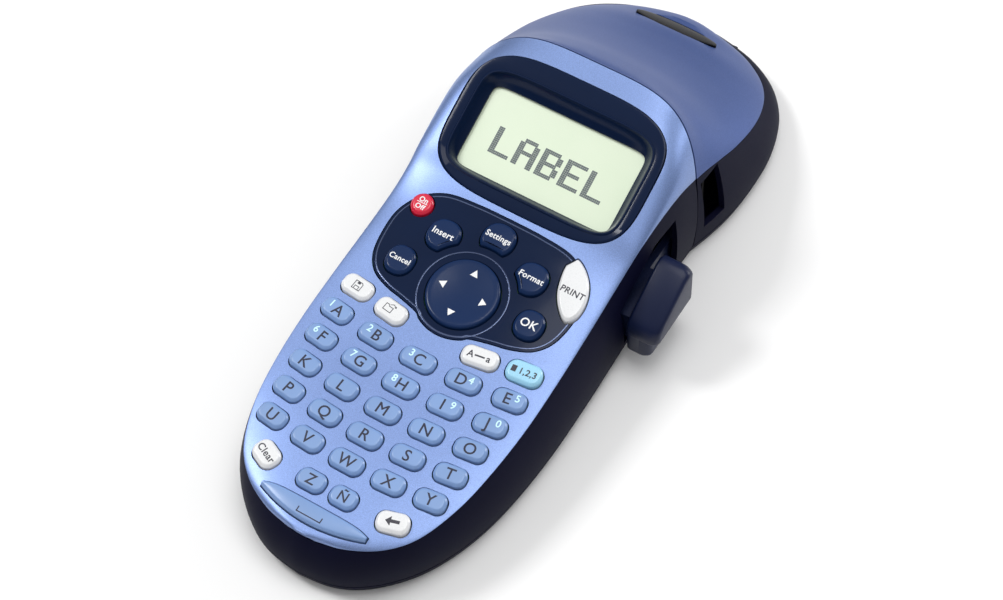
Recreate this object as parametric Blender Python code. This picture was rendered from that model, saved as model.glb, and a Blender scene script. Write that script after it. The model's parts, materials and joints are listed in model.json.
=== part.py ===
"""Handheld label maker with a letter keyboard, a tilted display and a hinged tape cover.

The machine lies on its flat underside.  +X is to the right of the keys, +Y runs from the
space bar to the tape cover, +Z is up.  Lengths below are in millimetres and become metres
as each mesh is made.
"""
import math

import bmesh
import bpy
import numpy as np
from mathutils import Matrix, Vector

MM = 0.001

# ---- driving dimensions -----------------------------------------------------------------
GAP = 0.3                 # clearance between touching pieces
SEAM_Z = 4.6              # height of the seam between the tray and the side walls
FLOOR = 1.7               # tray floor thickness
WALL = 1.8                # side wall thickness
PANEL_T = 1.7             # top panel and cover thickness
KEY_RISE = 1.3            # how far a key stands above the panel
KEY_DEPTH = 2.0           # how far a key reaches below the panel's top
KEY_GAP = 0.35            # clearance round a key
ROW_A = (0.0, -43.6)      # middle key of the first letter row
ROW_PITCH = 8.45
COLUMNS = (26.9, 13.7)    # outer and inner letter columns at the first row
COLUMN_STEP = (0.62, 0.3)  # how much the columns close in per row
ROW_SMILE = 2.0
SPACE_HALF = 16.0
SPACE_DEPTH = 0.6           # how far the outer keys of a row sit back
DISC_CENTRE = (0.0, -21.7)
DISC_R = 10.1
DISC_RING_R = 13.2
KEY_REACH = 14.8          # keys stay this far from the centre of the disc
SLOPE_BEZEL = 24.0        # tilt of the display bezel in degrees
BEZEL_ORIGIN = (0.0, 23.4, 40.3)
BEZEL_HALF = (30.1, 20.2)
RIDGE_HALF = (26.6, 15.0)
WINDOW_HALF = (24.0, 12.2)
WINDOW_SHIFT = -2.2
WINDOW_DEPTH = 4.0
BOARD_FRONT = (-90.0, 16.4)
BOARD_RISE = 0.093
CELL_R = 7.1
CELL_Y = (-72.0, -22.4)
CELL_Z = 9.25
HINGE_Y = 103.6
HINGE_Z = 3.6
HINGE_R = 1.6
BARREL_HALF = 8.2          # half length of the tray's middle hinge barrel
BARREL_END = 13.4          # outer end of the cover's two hinge barrels
DOOR_X = 27.0
DOOR_Y = (-72.0, -23.0)
DOOR_Z = (0.4, 1.5)
SLOT_Y = (40.4, 48.8)
SLOT_Z = (10.6, 29.6)
DISH_CENTRE = (0.0, 92.8)
DISH_HALF = (15.4, 5.0)
DISH_TILT = -33.0

# Sections of the top panel, front to back: half width, edge Y, edge Z, crest Y, crest Z and
# how square the section is.
PANEL_SECTIONS = (
    (4.0, -99.0, 18.0, -99.2, 19.4, 3.0),
    (12.0, -97.2, 18.3, -97.6, 19.8, 3.0),
    (20.5, -92.8, 18.8, -93.2, 20.2, 3.0),
    (27.0, -85.6, 19.6, -86.0, 21.0, 3.0),
    (31.4, -74.0, 20.9, -74.0, 22.3, 3.0),
    (33.6, -61.0, 22.0, -61.0, 23.4, 3.0),
    (34.7, -46.0, 23.1, -46.0, 24.6, 3.0),
    (34.8, -30.0, 24.6, -30.0, 26.4, 3.0),
    (34.5, -14.0, 26.4, -14.0, 28.8, 3.5),
    (34.3, -3.0, 28.2, -3.0, 30.5, 4.0),
    (34.4, 5.0, 30.4, 5.0, 32.4, 6.0),
    (34.8, 12.0, 33.0, 12.5, 35.8, 7.0),
    (35.4, 22.0, 35.2, 23.5, 40.7, 8.0),
    (35.9, 31.0, 35.6, 36.0, 46.6, 5.8),
    (36.0, 38.8, 33.2, 48.3, 49.4, 4.4),
)

# Sections of the tape cover, seam to far end, in the same order of values.
COVER_SECTIONS = (
    (36.1, 39.3, 32.8, 48.8, 49.1, 4.4),
    (36.7, 44.2, 31.8, 51.7, 47.3, 3.0),
    (37.3, 51.0, 29.3, 57.1, 42.9, 2.4),
    (37.5, 59.4, 25.4, 64.0, 36.9, 2.1),
    (36.7, 70.0, 20.6, 73.0, 30.6, 2.0),
    (34.7, 79.3, 16.4, 81.2, 25.8, 2.0),
    (31.4, 87.3, 13.2, 87.8, 22.3, 2.0),
    (26.4, 93.6, 11.0, 93.0, 18.8, 2.1),
    (18.6, 98.8, 9.8, 97.8, 15.7, 2.3),
    (8.4, 102.0, 9.2, 101.0, 13.0, 2.6),
    (3.4, 102.8, 9.0, 102.8, 9.6, 2.4),
)

# Lower outline of the right side, front centre to seam, then seam to far centre.
FRONT_FOOT = (
    (0.0, -103.4), (9.0, -102.2), (16.5, -98.8), (23.5, -92.6), (29.6, -84.0), (34.4, -72.0),
    (37.2, -58.0), (38.5, -40.0), (38.3, -20.0), (37.5, 0.0), (37.0, 20.0), (37.2, 36.6),
)
COVER_FOOT = (
    (37.3, 37.1), (39.2, 44.0), (40.8, 52.0), (41.5, 61.0), (41.2, 72.0), (39.0, 82.0),
    (35.2, 90.2), (28.8, 96.9), (19.6, 101.6), (9.3, 103.7), (0.0, 104.1),
)

LETTER_ROWS = ("abcde", "fghij", "klmno", "pqrst", "uvwxy")

# Function keys: centre X, centre Y, width, height and turn in degrees.
SHAPED_KEYS = {
    "key_save": (-25.9, -33.1, 9.4, 5.8, -6.0),
    "key_open": (-14.0, -35.0, 9.6, 5.8, -8.0),
    "key_caps": (13.9, -35.2, 10.4, 5.6, 8.0),
    "key_number": (26.2, -33.2, 10.0, 6.2, 6.0),
    "key_z": (-5.1, -86.2, 8.2, 5.6, 0.0),
    "key_n_tilde": (4.8, -86.2, 7.8, 5.6, 0.0),
    "key_clear": (-19.5, -85.6, 8.2, 6.2, -24.0),
    "key_backspace": (19.4, -85.6, 9.0, 5.8, 16.0),
}
NAV_KEYS = {
    "key_insert": (-13.7, -9.5, 9.4, 9.4),
    "key_settings": (0.0, -3.7, 9.6, 9.2),
    "key_format": (13.7, -9.5, 9.4, 9.4),
    "key_cancel": (-20.2, -21.0, 8.2, 8.6),
    "key_ok": (20.2, -21.0, 8.2, 8.6),
}

BLUE = (0.155, 0.215, 0.47)
NAVY = (0.012, 0.014, 0.04)
GLOSS_NAVY = (0.008, 0.016, 0.06)
KEY_BLUE = (0.20, 0.31, 0.58)
DISC_BLUE = (0.012, 0.035, 0.13)
WHITE = (0.78, 0.79, 0.80)
CYAN = (0.30, 0.62, 0.82)
RED = (0.62, 0.01, 0.03)
LCD_GREEN = (0.66, 0.76, 0.60)
BLACK = (0.01, 0.01, 0.012)
STEEL = (0.60, 0.61, 0.63)
GREEN_BOARD = (0.02, 0.16, 0.06)
GREY = (0.32, 0.33, 0.35)


# ---- helpers ----------------------------------------------------------------------------
def clear_scene():
    for old in list(bpy.data.objects):
        bpy.data.objects.remove(old, do_unlink=True)


def material(name, colour, roughness=0.4, metallic=0.0):
    mat = bpy.data.materials.new(name)
    mat.use_nodes = True
    shader = mat.node_tree.nodes["Principled BSDF"]
    shader.inputs["Base Color"].default_value = (*colour, 1.0)
    shader.inputs["Roughness"].default_value = roughness
    shader.inputs["Metallic"].default_value = metallic
    return mat


def mesh_object(name, points, faces, colour=None, roughness=0.4, metallic=0.0, smooth=True):
    """Make an object from millimetre points; its faces are turned to point outwards."""
    bm = bmesh.new()
    verts = [bm.verts.new(Vector(p) * MM) for p in points]
    for face in faces:
        bm.faces.new([verts[i] for i in face])
    bmesh.ops.recalc_face_normals(bm, faces=bm.faces)
    mesh = bpy.data.meshes.new(name)
    bm.to_mesh(mesh)
    bm.free()
    obj = bpy.data.objects.new(name, mesh)
    bpy.context.scene.collection.objects.link(obj)
    if smooth:
        mesh.shade_smooth()
        mesh.set_sharp_from_angle(angle=math.radians(35.0))
    if colour is not None:
        mesh.materials.append(material(name + "_material", colour, roughness, metallic))
    return obj


def loft(name, loops, colour=None, ring=False, **look):
    """Skin closed loops of equal length; cap both ends, or close the stack into a ring."""
    count = len(loops[0])
    points = [p for loop in loops for p in loop]
    faces = []
    pairs = len(loops) if ring else len(loops) - 1
    for k in range(pairs):
        a = k * count
        b = ((k + 1) % len(loops)) * count
        for i in range(count):
            j = (i + 1) % count
            faces.append((a + i, a + j, b + j, b + i))
    if not ring:
        faces.append(tuple(range(count)))
        last = (len(loops) - 1) * count
        faces.append(tuple(range(last, last + count)))
    return mesh_object(name, points, faces, colour, **look)


def strip_loft(name, sections, colour=None, **look):
    """Loft open strips that have an outer and an inner edge; end caps are quads between them."""
    half = len(sections[0][0])
    loops = [outer + inner[::-1] for outer, inner in sections]
    count = 2 * half
    points = [p for loop in loops for p in loop]
    faces = []
    for k in range(len(loops) - 1):
        a = k * count
        b = a + count
        for i in range(count):
            j = (i + 1) % count
            faces.append((a + i, a + j, b + j, b + i))
    for base in (0, (len(loops) - 1) * count):
        for i in range(half - 1):
            faces.append((base + i, base + i + 1, base + count - 2 - i, base + count - 1 - i))
    return mesh_object(name, points, faces, colour, **look)


def prism(name, outline, z_low, z_high, colour=None, **look):
    low = [(x, y, z_low) for x, y in outline]
    high = [(x, y, z_high) for x, y in outline]
    return loft(name, [low, high], colour, **look)


def box(name, x, y, z, colour=None, **look):
    outline = [(x[0], y[0]), (x[1], y[0]), (x[1], y[1]), (x[0], y[1])]
    return prism(name, outline, z[0], z[1], colour, smooth=False, **look)


def cylinder(name, centre, radius, low, high, axis="Z", sides=24, colour=None, **look):
    """A cylinder about a world axis; centre holds the two other coordinates in order."""
    loops = []
    for level in (low, high):
        loop = []
        for i in range(sides):
            a = 2 * math.pi * i / sides
            u = centre[0] + radius * math.cos(a)
            v = centre[1] + radius * math.sin(a)
            loop.append({"X": (level, u, v), "Y": (u, level, v), "Z": (u, v, level)}[axis])
        loops.append(loop)
    return loft(name, loops, colour, **look)


def hide_cutter(obj):
    obj.hide_render = True
    obj.display_type = "WIRE"
    return obj


def boolean(target, tool, operation="DIFFERENCE"):
    mod = target.modifiers.new(operation.lower() + "_" + tool.name, "BOOLEAN")
    mod.operation = operation
    mod.object = tool
    mod.solver = "EXACT"
    hide_cutter(tool)


def join_meshes(name, objects):
    """Put the meshes of several separate closed objects into one cutter object."""
    bm = bmesh.new()
    for obj in objects:
        bm.from_mesh(obj.data)
        bpy.data.objects.remove(obj, do_unlink=True)
    mesh = bpy.data.meshes.new(name)
    bm.to_mesh(mesh)
    bm.free()
    joined = bpy.data.objects.new(name, mesh)
    bpy.context.scene.collection.objects.link(joined)
    return joined


def set_origin(obj, origin):
    """Move an object's origin to a millimetre point without moving its mesh."""
    shift = Vector(origin) * MM
    obj.data.transform(Matrix.Translation(-shift))
    obj.location = shift


def catmull(points, steps):
    """A smooth curve through the points, with a number of steps for each span."""
    pts = np.array(points, dtype=float)
    pts = np.vstack([2 * pts[0] - pts[1], pts, 2 * pts[-1] - pts[-2]])
    out = []
    for i in range(1, len(pts) - 2):
        p0, p1, p2, p3 = pts[i - 1:i + 3]
        for k in range(steps):
            t = k / steps
            out.append(0.5 * (2 * p1 + (p2 - p0) * t + (2 * p0 - 5 * p1 + 4 * p2 - p3) * t**2
                              + (3 * p1 - p0 - 3 * p2 + p3) * t**3))
    out.append(pts[-2])
    return np.array(out)


def resample(curve, count):
    """Points at equal spacing along a curve."""
    gaps = np.linalg.norm(np.diff(curve, axis=0), axis=1)
    run = np.concatenate([[0.0], np.cumsum(gaps)])
    at = np.linspace(0.0, run[-1], count)
    return np.stack([np.interp(at, run, curve[:, k]) for k in range(curve.shape[1])], axis=1)


def superellipse(half_x, half_y, power, count, centre=(0.0, 0.0)):
    loop = []
    for i in range(count):
        a = 2 * math.pi * (i + 0.5) / count
        c = math.cos(a)
        s = math.sin(a)
        x = half_x * math.copysign(abs(c) ** (2 / power), c)
        y = half_y * math.copysign(abs(s) ** (2 / power), s)
        loop.append((centre[0] + x, centre[1] + y))
    return loop


def oblong(width, height, centre, turn=0.0, corner=0.42, per_corner=4):
    """A key outline: a rectangle whose corners are large arcs, turned about its centre."""
    r = corner * height
    spin = math.radians(turn)
    loop = []
    for k, (sx, sy) in enumerate(((1, 1), (-1, 1), (-1, -1), (1, -1))):
        cx = sx * (width / 2 - r)
        cy = sy * (height / 2 - r)
        for i in range(per_corner):
            a = math.pi / 2 * (k + i / (per_corner - 1))
            x = cx + r * math.cos(a)
            y = cy + r * math.sin(a)
            loop.append((centre[0] + x * math.cos(spin) - y * math.sin(spin),
                         centre[1] + x * math.sin(spin) + y * math.cos(spin)))
    return loop


def grow(outline, distance):
    """Offset a closed outline along its mitred normals; positive is outwards."""
    pts = np.array(outline, dtype=float)
    after = np.roll(pts, -1, axis=0)
    edge = after - pts
    edge /= np.linalg.norm(edge, axis=1)[:, None]
    normal = np.stack([edge[:, 1], -edge[:, 0]], axis=1)
    previous = np.roll(normal, 1, axis=0)
    turn = np.maximum(1.0 + np.sum(normal * previous, axis=1), 0.5)
    mitre = (normal + previous) / turn[:, None]
    area = 0.5 * np.sum(pts[:, 0] * after[:, 1] - after[:, 0] * pts[:, 1])
    return [tuple(p) for p in pts + mitre * distance * math.copysign(1.0, area)]


# ---- the top surface --------------------------------------------------------------------
def section_height(u, power):
    return max(0.0, 1.0 - abs(u) ** power) ** (1.0 / (1.3 + 0.14 * (power - 3.0)))


def bowed_section(values, across, rise=0.0, inset=0.0):
    """One cross-section: the middle is swept back from its edges and stands higher."""
    half, edge_y, edge_z, crest_y, crest_z, power = values
    half -= inset
    crest = crest_z + rise
    if inset > 0.0:
        crest = max(crest_z - inset, edge_z + 0.05)
    line = []
    for u in across:
        y = edge_y + (crest_y - edge_y) * (1.0 - u**4)
        z = edge_z + (crest - edge_z) * section_height(u, power)
        line.append((half * u, y, z))
    return line


def across_values(count):
    return [math.sin(math.pi / 2 * (-1.0 + 2.0 * i / (count - 1))) for i in range(count)]


def shell_from_sections(name, sections, colour, count=17, **look):
    across = across_values(count)
    strips = []
    for values in sections:
        outer = bowed_section(values, across)
        inner = bowed_section(values, across, inset=PANEL_T)
        strips.append((outer, inner))
    return strip_loft(name, strips, colour, **look)


def top_height(x, y):
    """Height of the top panel's surface at a point of the keyboard."""
    table = np.array(PANEL_SECTIONS)
    half, edge_z, crest_z, power = (np.interp(y, table[:, 3], table[:, k]) for k in (0, 2, 4, 5))
    u = min(1.0, abs(x) / half)
    return edge_z + (crest_z - edge_z) * section_height(u, power)


def bezel_point(x, y, depth):
    """A point of the tilted display frame, from its own plane's coordinates."""
    tilt = math.radians(SLOPE_BEZEL)
    return (BEZEL_ORIGIN[0] + x,
            BEZEL_ORIGIN[1] + y * math.cos(tilt) + depth * math.sin(tilt),
            BEZEL_ORIGIN[2] + y * math.sin(tilt) - depth * math.cos(tilt))


def nav_outline():
    """The dark panel under the arrow disc: a rounded shield joined to the disc's ring."""
    right = [(10.0, 2.7), (19.5, 1.6), (26.0, -2.2), (29.4, -8.2), (29.6, -15.6),
             (28.2, -22.2), (24.8, -26.7), (19.4, -29.2), (14.0, -30.4)]
    start = math.asin((-31.8 - DISC_CENTRE[1]) / DISC_RING_R)
    for k in range(5):
        a = start + (-math.pi / 2 - start) * k / 4.5
        right.append((DISC_RING_R * math.cos(a), DISC_CENTRE[1] + DISC_RING_R * math.sin(a)))
    curve = catmull([(0.0, 2.9)] + right + [(0.0, DISC_CENTRE[1] - DISC_RING_R)], 2)
    curve = [tuple(p) for p in curve]
    return curve + [(-x, y) for x, y in curve[-2:0:-1]]


def print_outline():
    """The leaf-shaped print key, from its rounded head to its narrow foot."""
    right = [(21.6, 1.4), (25.2, -0.4), (28.4, -4.0), (30.0, -8.6), (29.9, -13.0)]
    left = [(28.0, -15.4), (25.0, -13.6), (22.0, -9.8), (20.3, -4.9), (19.9, -0.9)]
    loop = right + left
    curve = catmull([loop[-1]] + loop + [loop[0]], 2)
    return [tuple(p) for p in curve[2:-2]][:-1]


def space_edges(x):
    """Far and near edges of the space bar, which follows the end of the panel."""
    t = x / SPACE_HALF
    return -91.2 - 1.0 * t**6, -96.7 + 3.3 * t**2


def space_outline():
    across = np.linspace(SPACE_HALF, -SPACE_HALF, 13)
    upper = [(x, space_edges(x)[0]) for x in across]
    lower = [(x, space_edges(x)[1]) for x in across[::-1]]
    return upper + lower


# ---- keys -------------------------------------------------------------------------------
def make_key(name, outline, colour, rise=KEY_RISE, chamfer=0.7, roughness=0.35):
    """A key that stands through the panel; its top edge is chamfered."""
    pts = np.array(outline)
    cx, cy = pts.mean(axis=0)
    base = top_height(cx, cy)
    slope = (top_height(cx, cy + 2.0) - top_height(cx, cy - 2.0)) / 4.0

    def ring(points, height):
        return [(x, y, base + slope * (y - cy) + height) for x, y in points]

    loops = [ring(outline, -KEY_DEPTH), ring(outline, rise - chamfer * 0.8),
             ring(grow(outline, -chamfer), rise)]
    key = loft(name, loops, colour, roughness=roughness)
    set_origin(key, (cx, cy, base))
    return key


def build_space_bar():
    """The space bar bows with the panel, so it is lofted from end to end."""
    sections = []
    for x in np.linspace(-SPACE_HALF, SPACE_HALF, 15):
        far, near = space_edges(x)
        inset = min(0.6, 0.3 * (far - near))
        top = []
        for y, height in ((far, 0.7), (far - inset, KEY_RISE), (near + inset, KEY_RISE),
                          (near, 0.7)):
            top.append((x, y, top_height(x, y) + height))
        foot = [(x, y, top_height(x, y) - SPACE_DEPTH) for _, y, _ in top]
        sections.append((top, foot))
    bar = strip_loft("key_space", sections, key_colour("key_space"), roughness=0.35)
    set_origin(bar, (0.0, -94.0, top_height(0.0, -94.0)))
    return bar


def letter_keys():
    """Outlines of the five rows of five letter keys, by node name."""
    outlines = {}
    for row, letters in enumerate(LETTER_ROWS):
        for column, letter in enumerate(letters):
            side = column - 2
            x = 0.0
            if abs(side) == 1:
                x = math.copysign(COLUMNS[1] - COLUMN_STEP[1] * row, side)
            if abs(side) == 2:
                x = math.copysign(COLUMNS[0] - COLUMN_STEP[0] * row, side)
            y = ROW_A[1] - ROW_PITCH * row + ROW_SMILE * (x / COLUMNS[0]) ** 2
            width = 10.2 - 0.45 * abs(side) - 0.12 * row
            outlines["key_" + letter] = oblong(width, 5.6, (x, y), turn=4.0 * side)
    return outlines


def clear_of_disc(outline):
    """Push an outline back to the rim round the arrow disc, where it comes too close."""
    moved = []
    for x, y in outline:
        away = max(1.0, KEY_REACH / math.hypot(x - DISC_CENTRE[0], y - DISC_CENTRE[1]))
        moved.append((DISC_CENTRE[0] + (x - DISC_CENTRE[0]) * away,
                      DISC_CENTRE[1] + (y - DISC_CENTRE[1]) * away))
    return moved


def shaped_outlines():
    """The white and cyan keys and the last letters, some of them cut back by the disc."""
    return {name: clear_of_disc(oblong(w, h, (x, y), turn))
            for name, (x, y, w, h, turn) in SHAPED_KEYS.items()}


def nav_key_outlines():
    """The five round keys about the disc, three of them flattened towards it."""
    return {name: clear_of_disc(superellipse(w / 2, h / 2, 2.3, 24, (x, y)))
            for name, (x, y, w, h) in NAV_KEYS.items()}


def hole_cutter(name, outlines, clearance):
    tools = [prism(name + "_" + key, grow(outline, clearance), 8.0, 45.0)
             for key, outline in outlines.items()]
    return join_meshes(name, tools)


# ---- walls ------------------------------------------------------------------------------
def wall_band(name, rim, foot, bulge, colour, **look):
    """A side wall lofted along its length from a lower outline to an upper edge."""
    rim = np.array(rim)
    foot = np.array(foot)
    tangent = np.gradient(foot, axis=0)
    tangent /= np.linalg.norm(tangent, axis=1)[:, None]
    out = np.stack([tangent[:, 1], -tangent[:, 0]], axis=1)
    sections = []
    for k in range(len(foot)):
        outer = []
        inner = []
        for t in (0.0, 0.3, 0.6, 0.85, 1.0):
            xy = foot[k] * (1 - t) + rim[k, :2] * t + out[k] * bulge * 4 * t * (1 - t)
            z = SEAM_Z * (1 - t) + (rim[k, 2] - GAP) * t
            outer.append((xy[0], xy[1], z))
            back = xy - out[k] * WALL
            inner.append((back[0], back[1], z))
        sections.append((outer, inner))
    return strip_loft(name, sections, colour, **look)


def mirrored_path(half):
    """A path from the right end, round the front or far centre, to the left end."""
    half = [tuple(p) for p in half]
    left = [(-p[0],) + tuple(p[1:]) for p in half[-2::-1]]
    return half + left


def front_paths(count):
    """Foot and rim of the front walls, from the seam on the left, round the front."""
    foot = resample(catmull(FRONT_FOOT, 6), count)
    table = np.array(PANEL_SECTIONS)
    rim = np.vstack([[0.0, -99.6, 18.0], table[:, [0, 1, 2]]])
    rim = resample(catmull(rim, 6), count)
    rim[:, 0] -= 0.1 * (rim[:, 0] > 1.0)
    return mirrored_path(foot[::-1])[::-1], mirrored_path(rim[::-1])[::-1]


def cover_paths(count):
    foot = resample(catmull(COVER_FOOT, 6), count)
    table = np.array(COVER_SECTIONS)
    rim = np.vstack([table[:, [0, 1, 2]], [0.0, 103.0, 9.0]])
    rim = resample(catmull(rim, 6), count)
    return mirrored_path(foot), mirrored_path(rim)


# ---- casing -----------------------------------------------------------------------------
def hinge_lug(name, x, arc, arm_z):
    """One barrel of the cover's hinge with the arm that roots it in a wall."""
    outline = [(HINGE_Y - 2.9, arm_z[0])]
    for k in range(15):
        a = math.radians(arc[0] + (arc[1] - arc[0]) * k / 14)
        outline.append((HINGE_Y + HINGE_R * math.cos(a), HINGE_Z + HINGE_R * math.sin(a)))
    outline += [(outline[-1][0] - 0.3, arm_z[1]), (HINGE_Y - 2.9, arm_z[1])]
    return loft(name, [[(level, y, z) for y, z in outline] for level in x])


def build_base_shell():
    """The tray underneath, with the battery box and the middle barrel of the cover hinge."""
    front = [(x, y) for x, y in front_paths(21)[0]]
    back = [(x, y) for x, y in cover_paths(15)[0]]
    outline = front + back
    levels = ((0.0, -3.8), (0.9, -1.5), (SEAM_Z - GAP, -0.1))
    loops = [[(x, y, z) for x, y in grow(outline, inset)] for z, inset in levels]
    for z, inset in ((SEAM_Z - GAP, -0.1 - WALL), (FLOOR, -3.0)):
        loops.append([(x, y, z) for x, y in grow(outline, inset)])
    base = loft("base_shell", loops, NAVY, roughness=0.5)
    opening = box("battery_opening", (-DOOR_X - 0.4, DOOR_X + 0.4),
                  (DOOR_Y[0] - 0.4, DOOR_Y[1] + 0.6), (-1.0, 3.0))
    boolean(base, opening)
    wall_x = (29.7, 30.9)
    wall_y = (CELL_Y[0] - 1.0, CELL_Y[1] + 1.0)
    low, high = FLOOR - 0.5, 13.0
    for name, x, y in (("battery_wall_right", wall_x, (wall_y[0] - 1.2, wall_y[1] + 1.2)),
                       ("battery_wall_left", (-wall_x[1], -wall_x[0]),
                        (wall_y[0] - 1.2, wall_y[1] + 1.2)),
                       ("battery_wall_front", (-30.3, 30.3), (wall_y[0] - 1.2, wall_y[0])),
                       ("battery_wall_back", (-30.3, 30.3), (wall_y[1], wall_y[1] + 1.2))):
        boolean(base, box(name, x, y, (low, high)), "UNION")
    for side, label in ((1, "right"), (-1, "left")):
        x = sorted((side * (BARREL_HALF + 0.1), side * (BARREL_END + 0.3)))
        boolean(base, box("barrel_notch_" + label, x, (HINGE_Y - 2.0, 112.0), (1.4, 8.0)))
    middle = (-BARREL_HALF, BARREL_HALF)
    boolean(base, hinge_lug("middle_lug", middle, (241.0, 525.0), (2.2, 4.0)), "UNION")
    return base


def build_mid_frame():
    """Side walls round the keyboard, open to the cutter lever, with the bulkhead."""
    foot, rim = front_paths(21)
    frame = wall_band("mid_frame", rim, foot, 1.3, NAVY, roughness=0.45)
    side = ((-1.4, 6.2), (27.0, 6.2), (27.0, 29.0), (17.4, 29.0), (-1.4, 20.4))
    opening = loft("lever_opening", [[(x, y, z) for y, z in side] for x in (30.0, 45.0)])
    boolean(frame, opening)
    boolean(frame, box("bulkhead", (-36.0, 30.6), (34.8, 36.2), (4.9, 33.5)), "UNION")
    return frame


def build_front_panel(key_outlines):
    panel = shell_from_sections("front_panel", PANEL_SECTIONS, BLUE,
                                roughness=0.32, metallic=0.35)
    bezel = [bezel_point(x, y, 0.0) for x, y in superellipse(*BEZEL_HALF, 3.8, 40)]
    bezel = grow([(x, y) for x, y, _ in bezel], GAP)
    boolean(panel, prism("bezel_hole", bezel, 20.0, 60.0))
    boolean(panel, prism("nav_hole", grow(nav_outline(), GAP / 2), 15.0, 45.0))
    boolean(panel, hole_cutter("key_holes", key_outlines, KEY_GAP))
    return panel


def build_nav_panel(nav_outlines):
    """The dark insert: the same sheet as the panel, kept only inside its own outline."""
    nav = shell_from_sections("nav_panel", PANEL_SECTIONS, GLOSS_NAVY, roughness=0.12)
    boolean(nav, prism("nav_limit", grow(nav_outline(), -GAP / 2), 15.0, 45.0), "INTERSECT")
    boolean(nav, hole_cutter("nav_holes", nav_outlines, KEY_GAP))
    return nav


def bezel_loop(half, power, shift, depth):
    return [bezel_point(x, y, depth) for x, y in superellipse(*half, power, 40, (0.0, shift))]


def build_display():
    outer = bezel_loop(BEZEL_HALF, 3.8, 0.0, -0.1)
    loops = [
        outer,
        bezel_loop(RIDGE_HALF, 6.0, -1.0, 0.3),
        bezel_loop((WINDOW_HALF[0] + 1.0, WINDOW_HALF[1] + 1.0), 9.0, -1.8, 2.4),
        bezel_loop(WINDOW_HALF, 14.0, WINDOW_SHIFT, WINDOW_DEPTH - 0.8),
        bezel_loop(WINDOW_HALF, 14.0, WINDOW_SHIFT, WINDOW_DEPTH),
        bezel_loop((WINDOW_HALF[0] + 1.9, WINDOW_HALF[1] + 1.9), 9.0, -1.8, WINDOW_DEPTH),
        bezel_loop((RIDGE_HALF[0] + 0.9, RIDGE_HALF[1] + 0.9), 6.0, -1.0, 1.7),
        [(x, y, z - 1.5) for x, y, z in outer],
    ]
    bezel = loft("lcd_bezel", loops, GLOSS_NAVY, ring=True, roughness=0.12)
    half = (WINDOW_HALF[0] + 1.3, WINDOW_HALF[1] + 1.2)
    glass = [[bezel_point(sx * half[0], WINDOW_SHIFT + sy * half[1], depth)
              for sx, sy in ((-1, -1), (1, -1), (1, 1), (-1, 1))]
             for depth in (WINDOW_DEPTH + GAP, WINDOW_DEPTH + 2.2)]
    panel = loft("lcd_panel", glass, LCD_GREEN, roughness=0.15, smooth=False)
    return bezel, panel


# ---- tape cover -------------------------------------------------------------------------
def dish_point(x, y, depth):
    tilt = math.radians(DISH_TILT)
    height = float(np.interp(DISH_CENTRE[1], [s[3] for s in COVER_SECTIONS],
                             [s[4] for s in COVER_SECTIONS]))
    return (DISH_CENTRE[0] + x,
            DISH_CENTRE[1] + y * math.cos(tilt) + depth * math.sin(tilt),
            height + y * math.sin(tilt) - depth * math.cos(tilt))


def dish_loop(half_x, half_y, depth):
    return [dish_point(x, y, depth) for x, y in superellipse(half_x, half_y, 2.0, 28)]


def build_tape_cover():
    cover = shell_from_sections("tape_cover", COVER_SECTIONS, BLUE,
                                roughness=0.3, metallic=0.35)
    hole = loft("dish_hole", [dish_loop(*DISH_HALF, 9.0), dish_loop(*DISH_HALF, -8.0)])
    boolean(cover, hole)
    a, b = DISH_HALF[0] - GAP, DISH_HALF[1] - GAP
    window = loft("tape_window", [
        dish_loop(a - 2.4, b - 1.4, 3.6), dish_loop(a, b, 1.5), dish_loop(a, b, 0.1),
        dish_loop(a - 1.0, b - 0.8, 0.4), dish_loop(a - 3.4, b - 2.2, 2.6),
    ], BLACK, roughness=0.1)
    return cover, window


def build_cover_skirt():
    """Lower wall of the tape cover, with the tape slot and its two hinge barrels."""
    foot, rim = cover_paths(15)
    skirt = wall_band("cover_skirt", rim, foot, 1.2, NAVY, roughness=0.45)
    boolean(skirt, box("tape_slot", (34.0, 45.0), SLOT_Y, SLOT_Z))
    notch_x = (-BARREL_HALF - GAP, BARREL_HALF + GAP)
    boolean(skirt, box("hinge_notch", notch_x, (HINGE_Y - 4.3, 112.0), (3.0, HINGE_Z + 2.1)))
    for side, label in ((1, "right"), (-1, "left")):
        x = sorted((side * (BARREL_HALF + 0.4), side * BARREL_END))
        lug = hinge_lug("cover_lug_" + label, x, (131.0, 450.0), (SEAM_Z + 0.2, 6.0))
        boolean(skirt, lug, "UNION")
    return skirt


# ---- inner pieces -----------------------------------------------------------------------
def board_height(y):
    return BOARD_FRONT[1] + (y - BOARD_FRONT[0]) * BOARD_RISE


def build_board():
    right = ((31.0, 0.0), (31.0, -60.0), (18.0, -90.5))
    outline = [(x, y) for x, y in right] + [(-x, y) for x, y in right[::-1]]
    loops = [[(x, y, board_height(y) - drop) for x, y in outline] for drop in (1.2, 0.0)]
    return loft("circuit_board", loops, GREEN_BOARD, smooth=False)


def build_batteries():
    """Four cells side by side, tied end to end by their contact straps."""
    spots = (-22.2, -7.4, 7.4, 22.2)
    ends = (CELL_Y[0] + 0.5, CELL_Y[1] - 0.5)
    straps = box("battery_cells", (-25.0, 25.0), (CELL_Y[0], ends[0] + 0.2),
                 (CELL_Z - 2.5, CELL_Z + 2.5), GREY, metallic=0.6)
    back = box("back_strap", (-25.0, 25.0), (ends[1] - 0.2, CELL_Y[1]),
               (CELL_Z - 2.5, CELL_Z + 2.5))
    for k, x in enumerate(spots):
        cell = cylinder("cell_%d" % (k + 1), (x, CELL_Z), CELL_R, *ends, "Y", 16)
        boolean(straps, cell, "UNION")
    boolean(straps, back, "UNION")
    return straps


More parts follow.
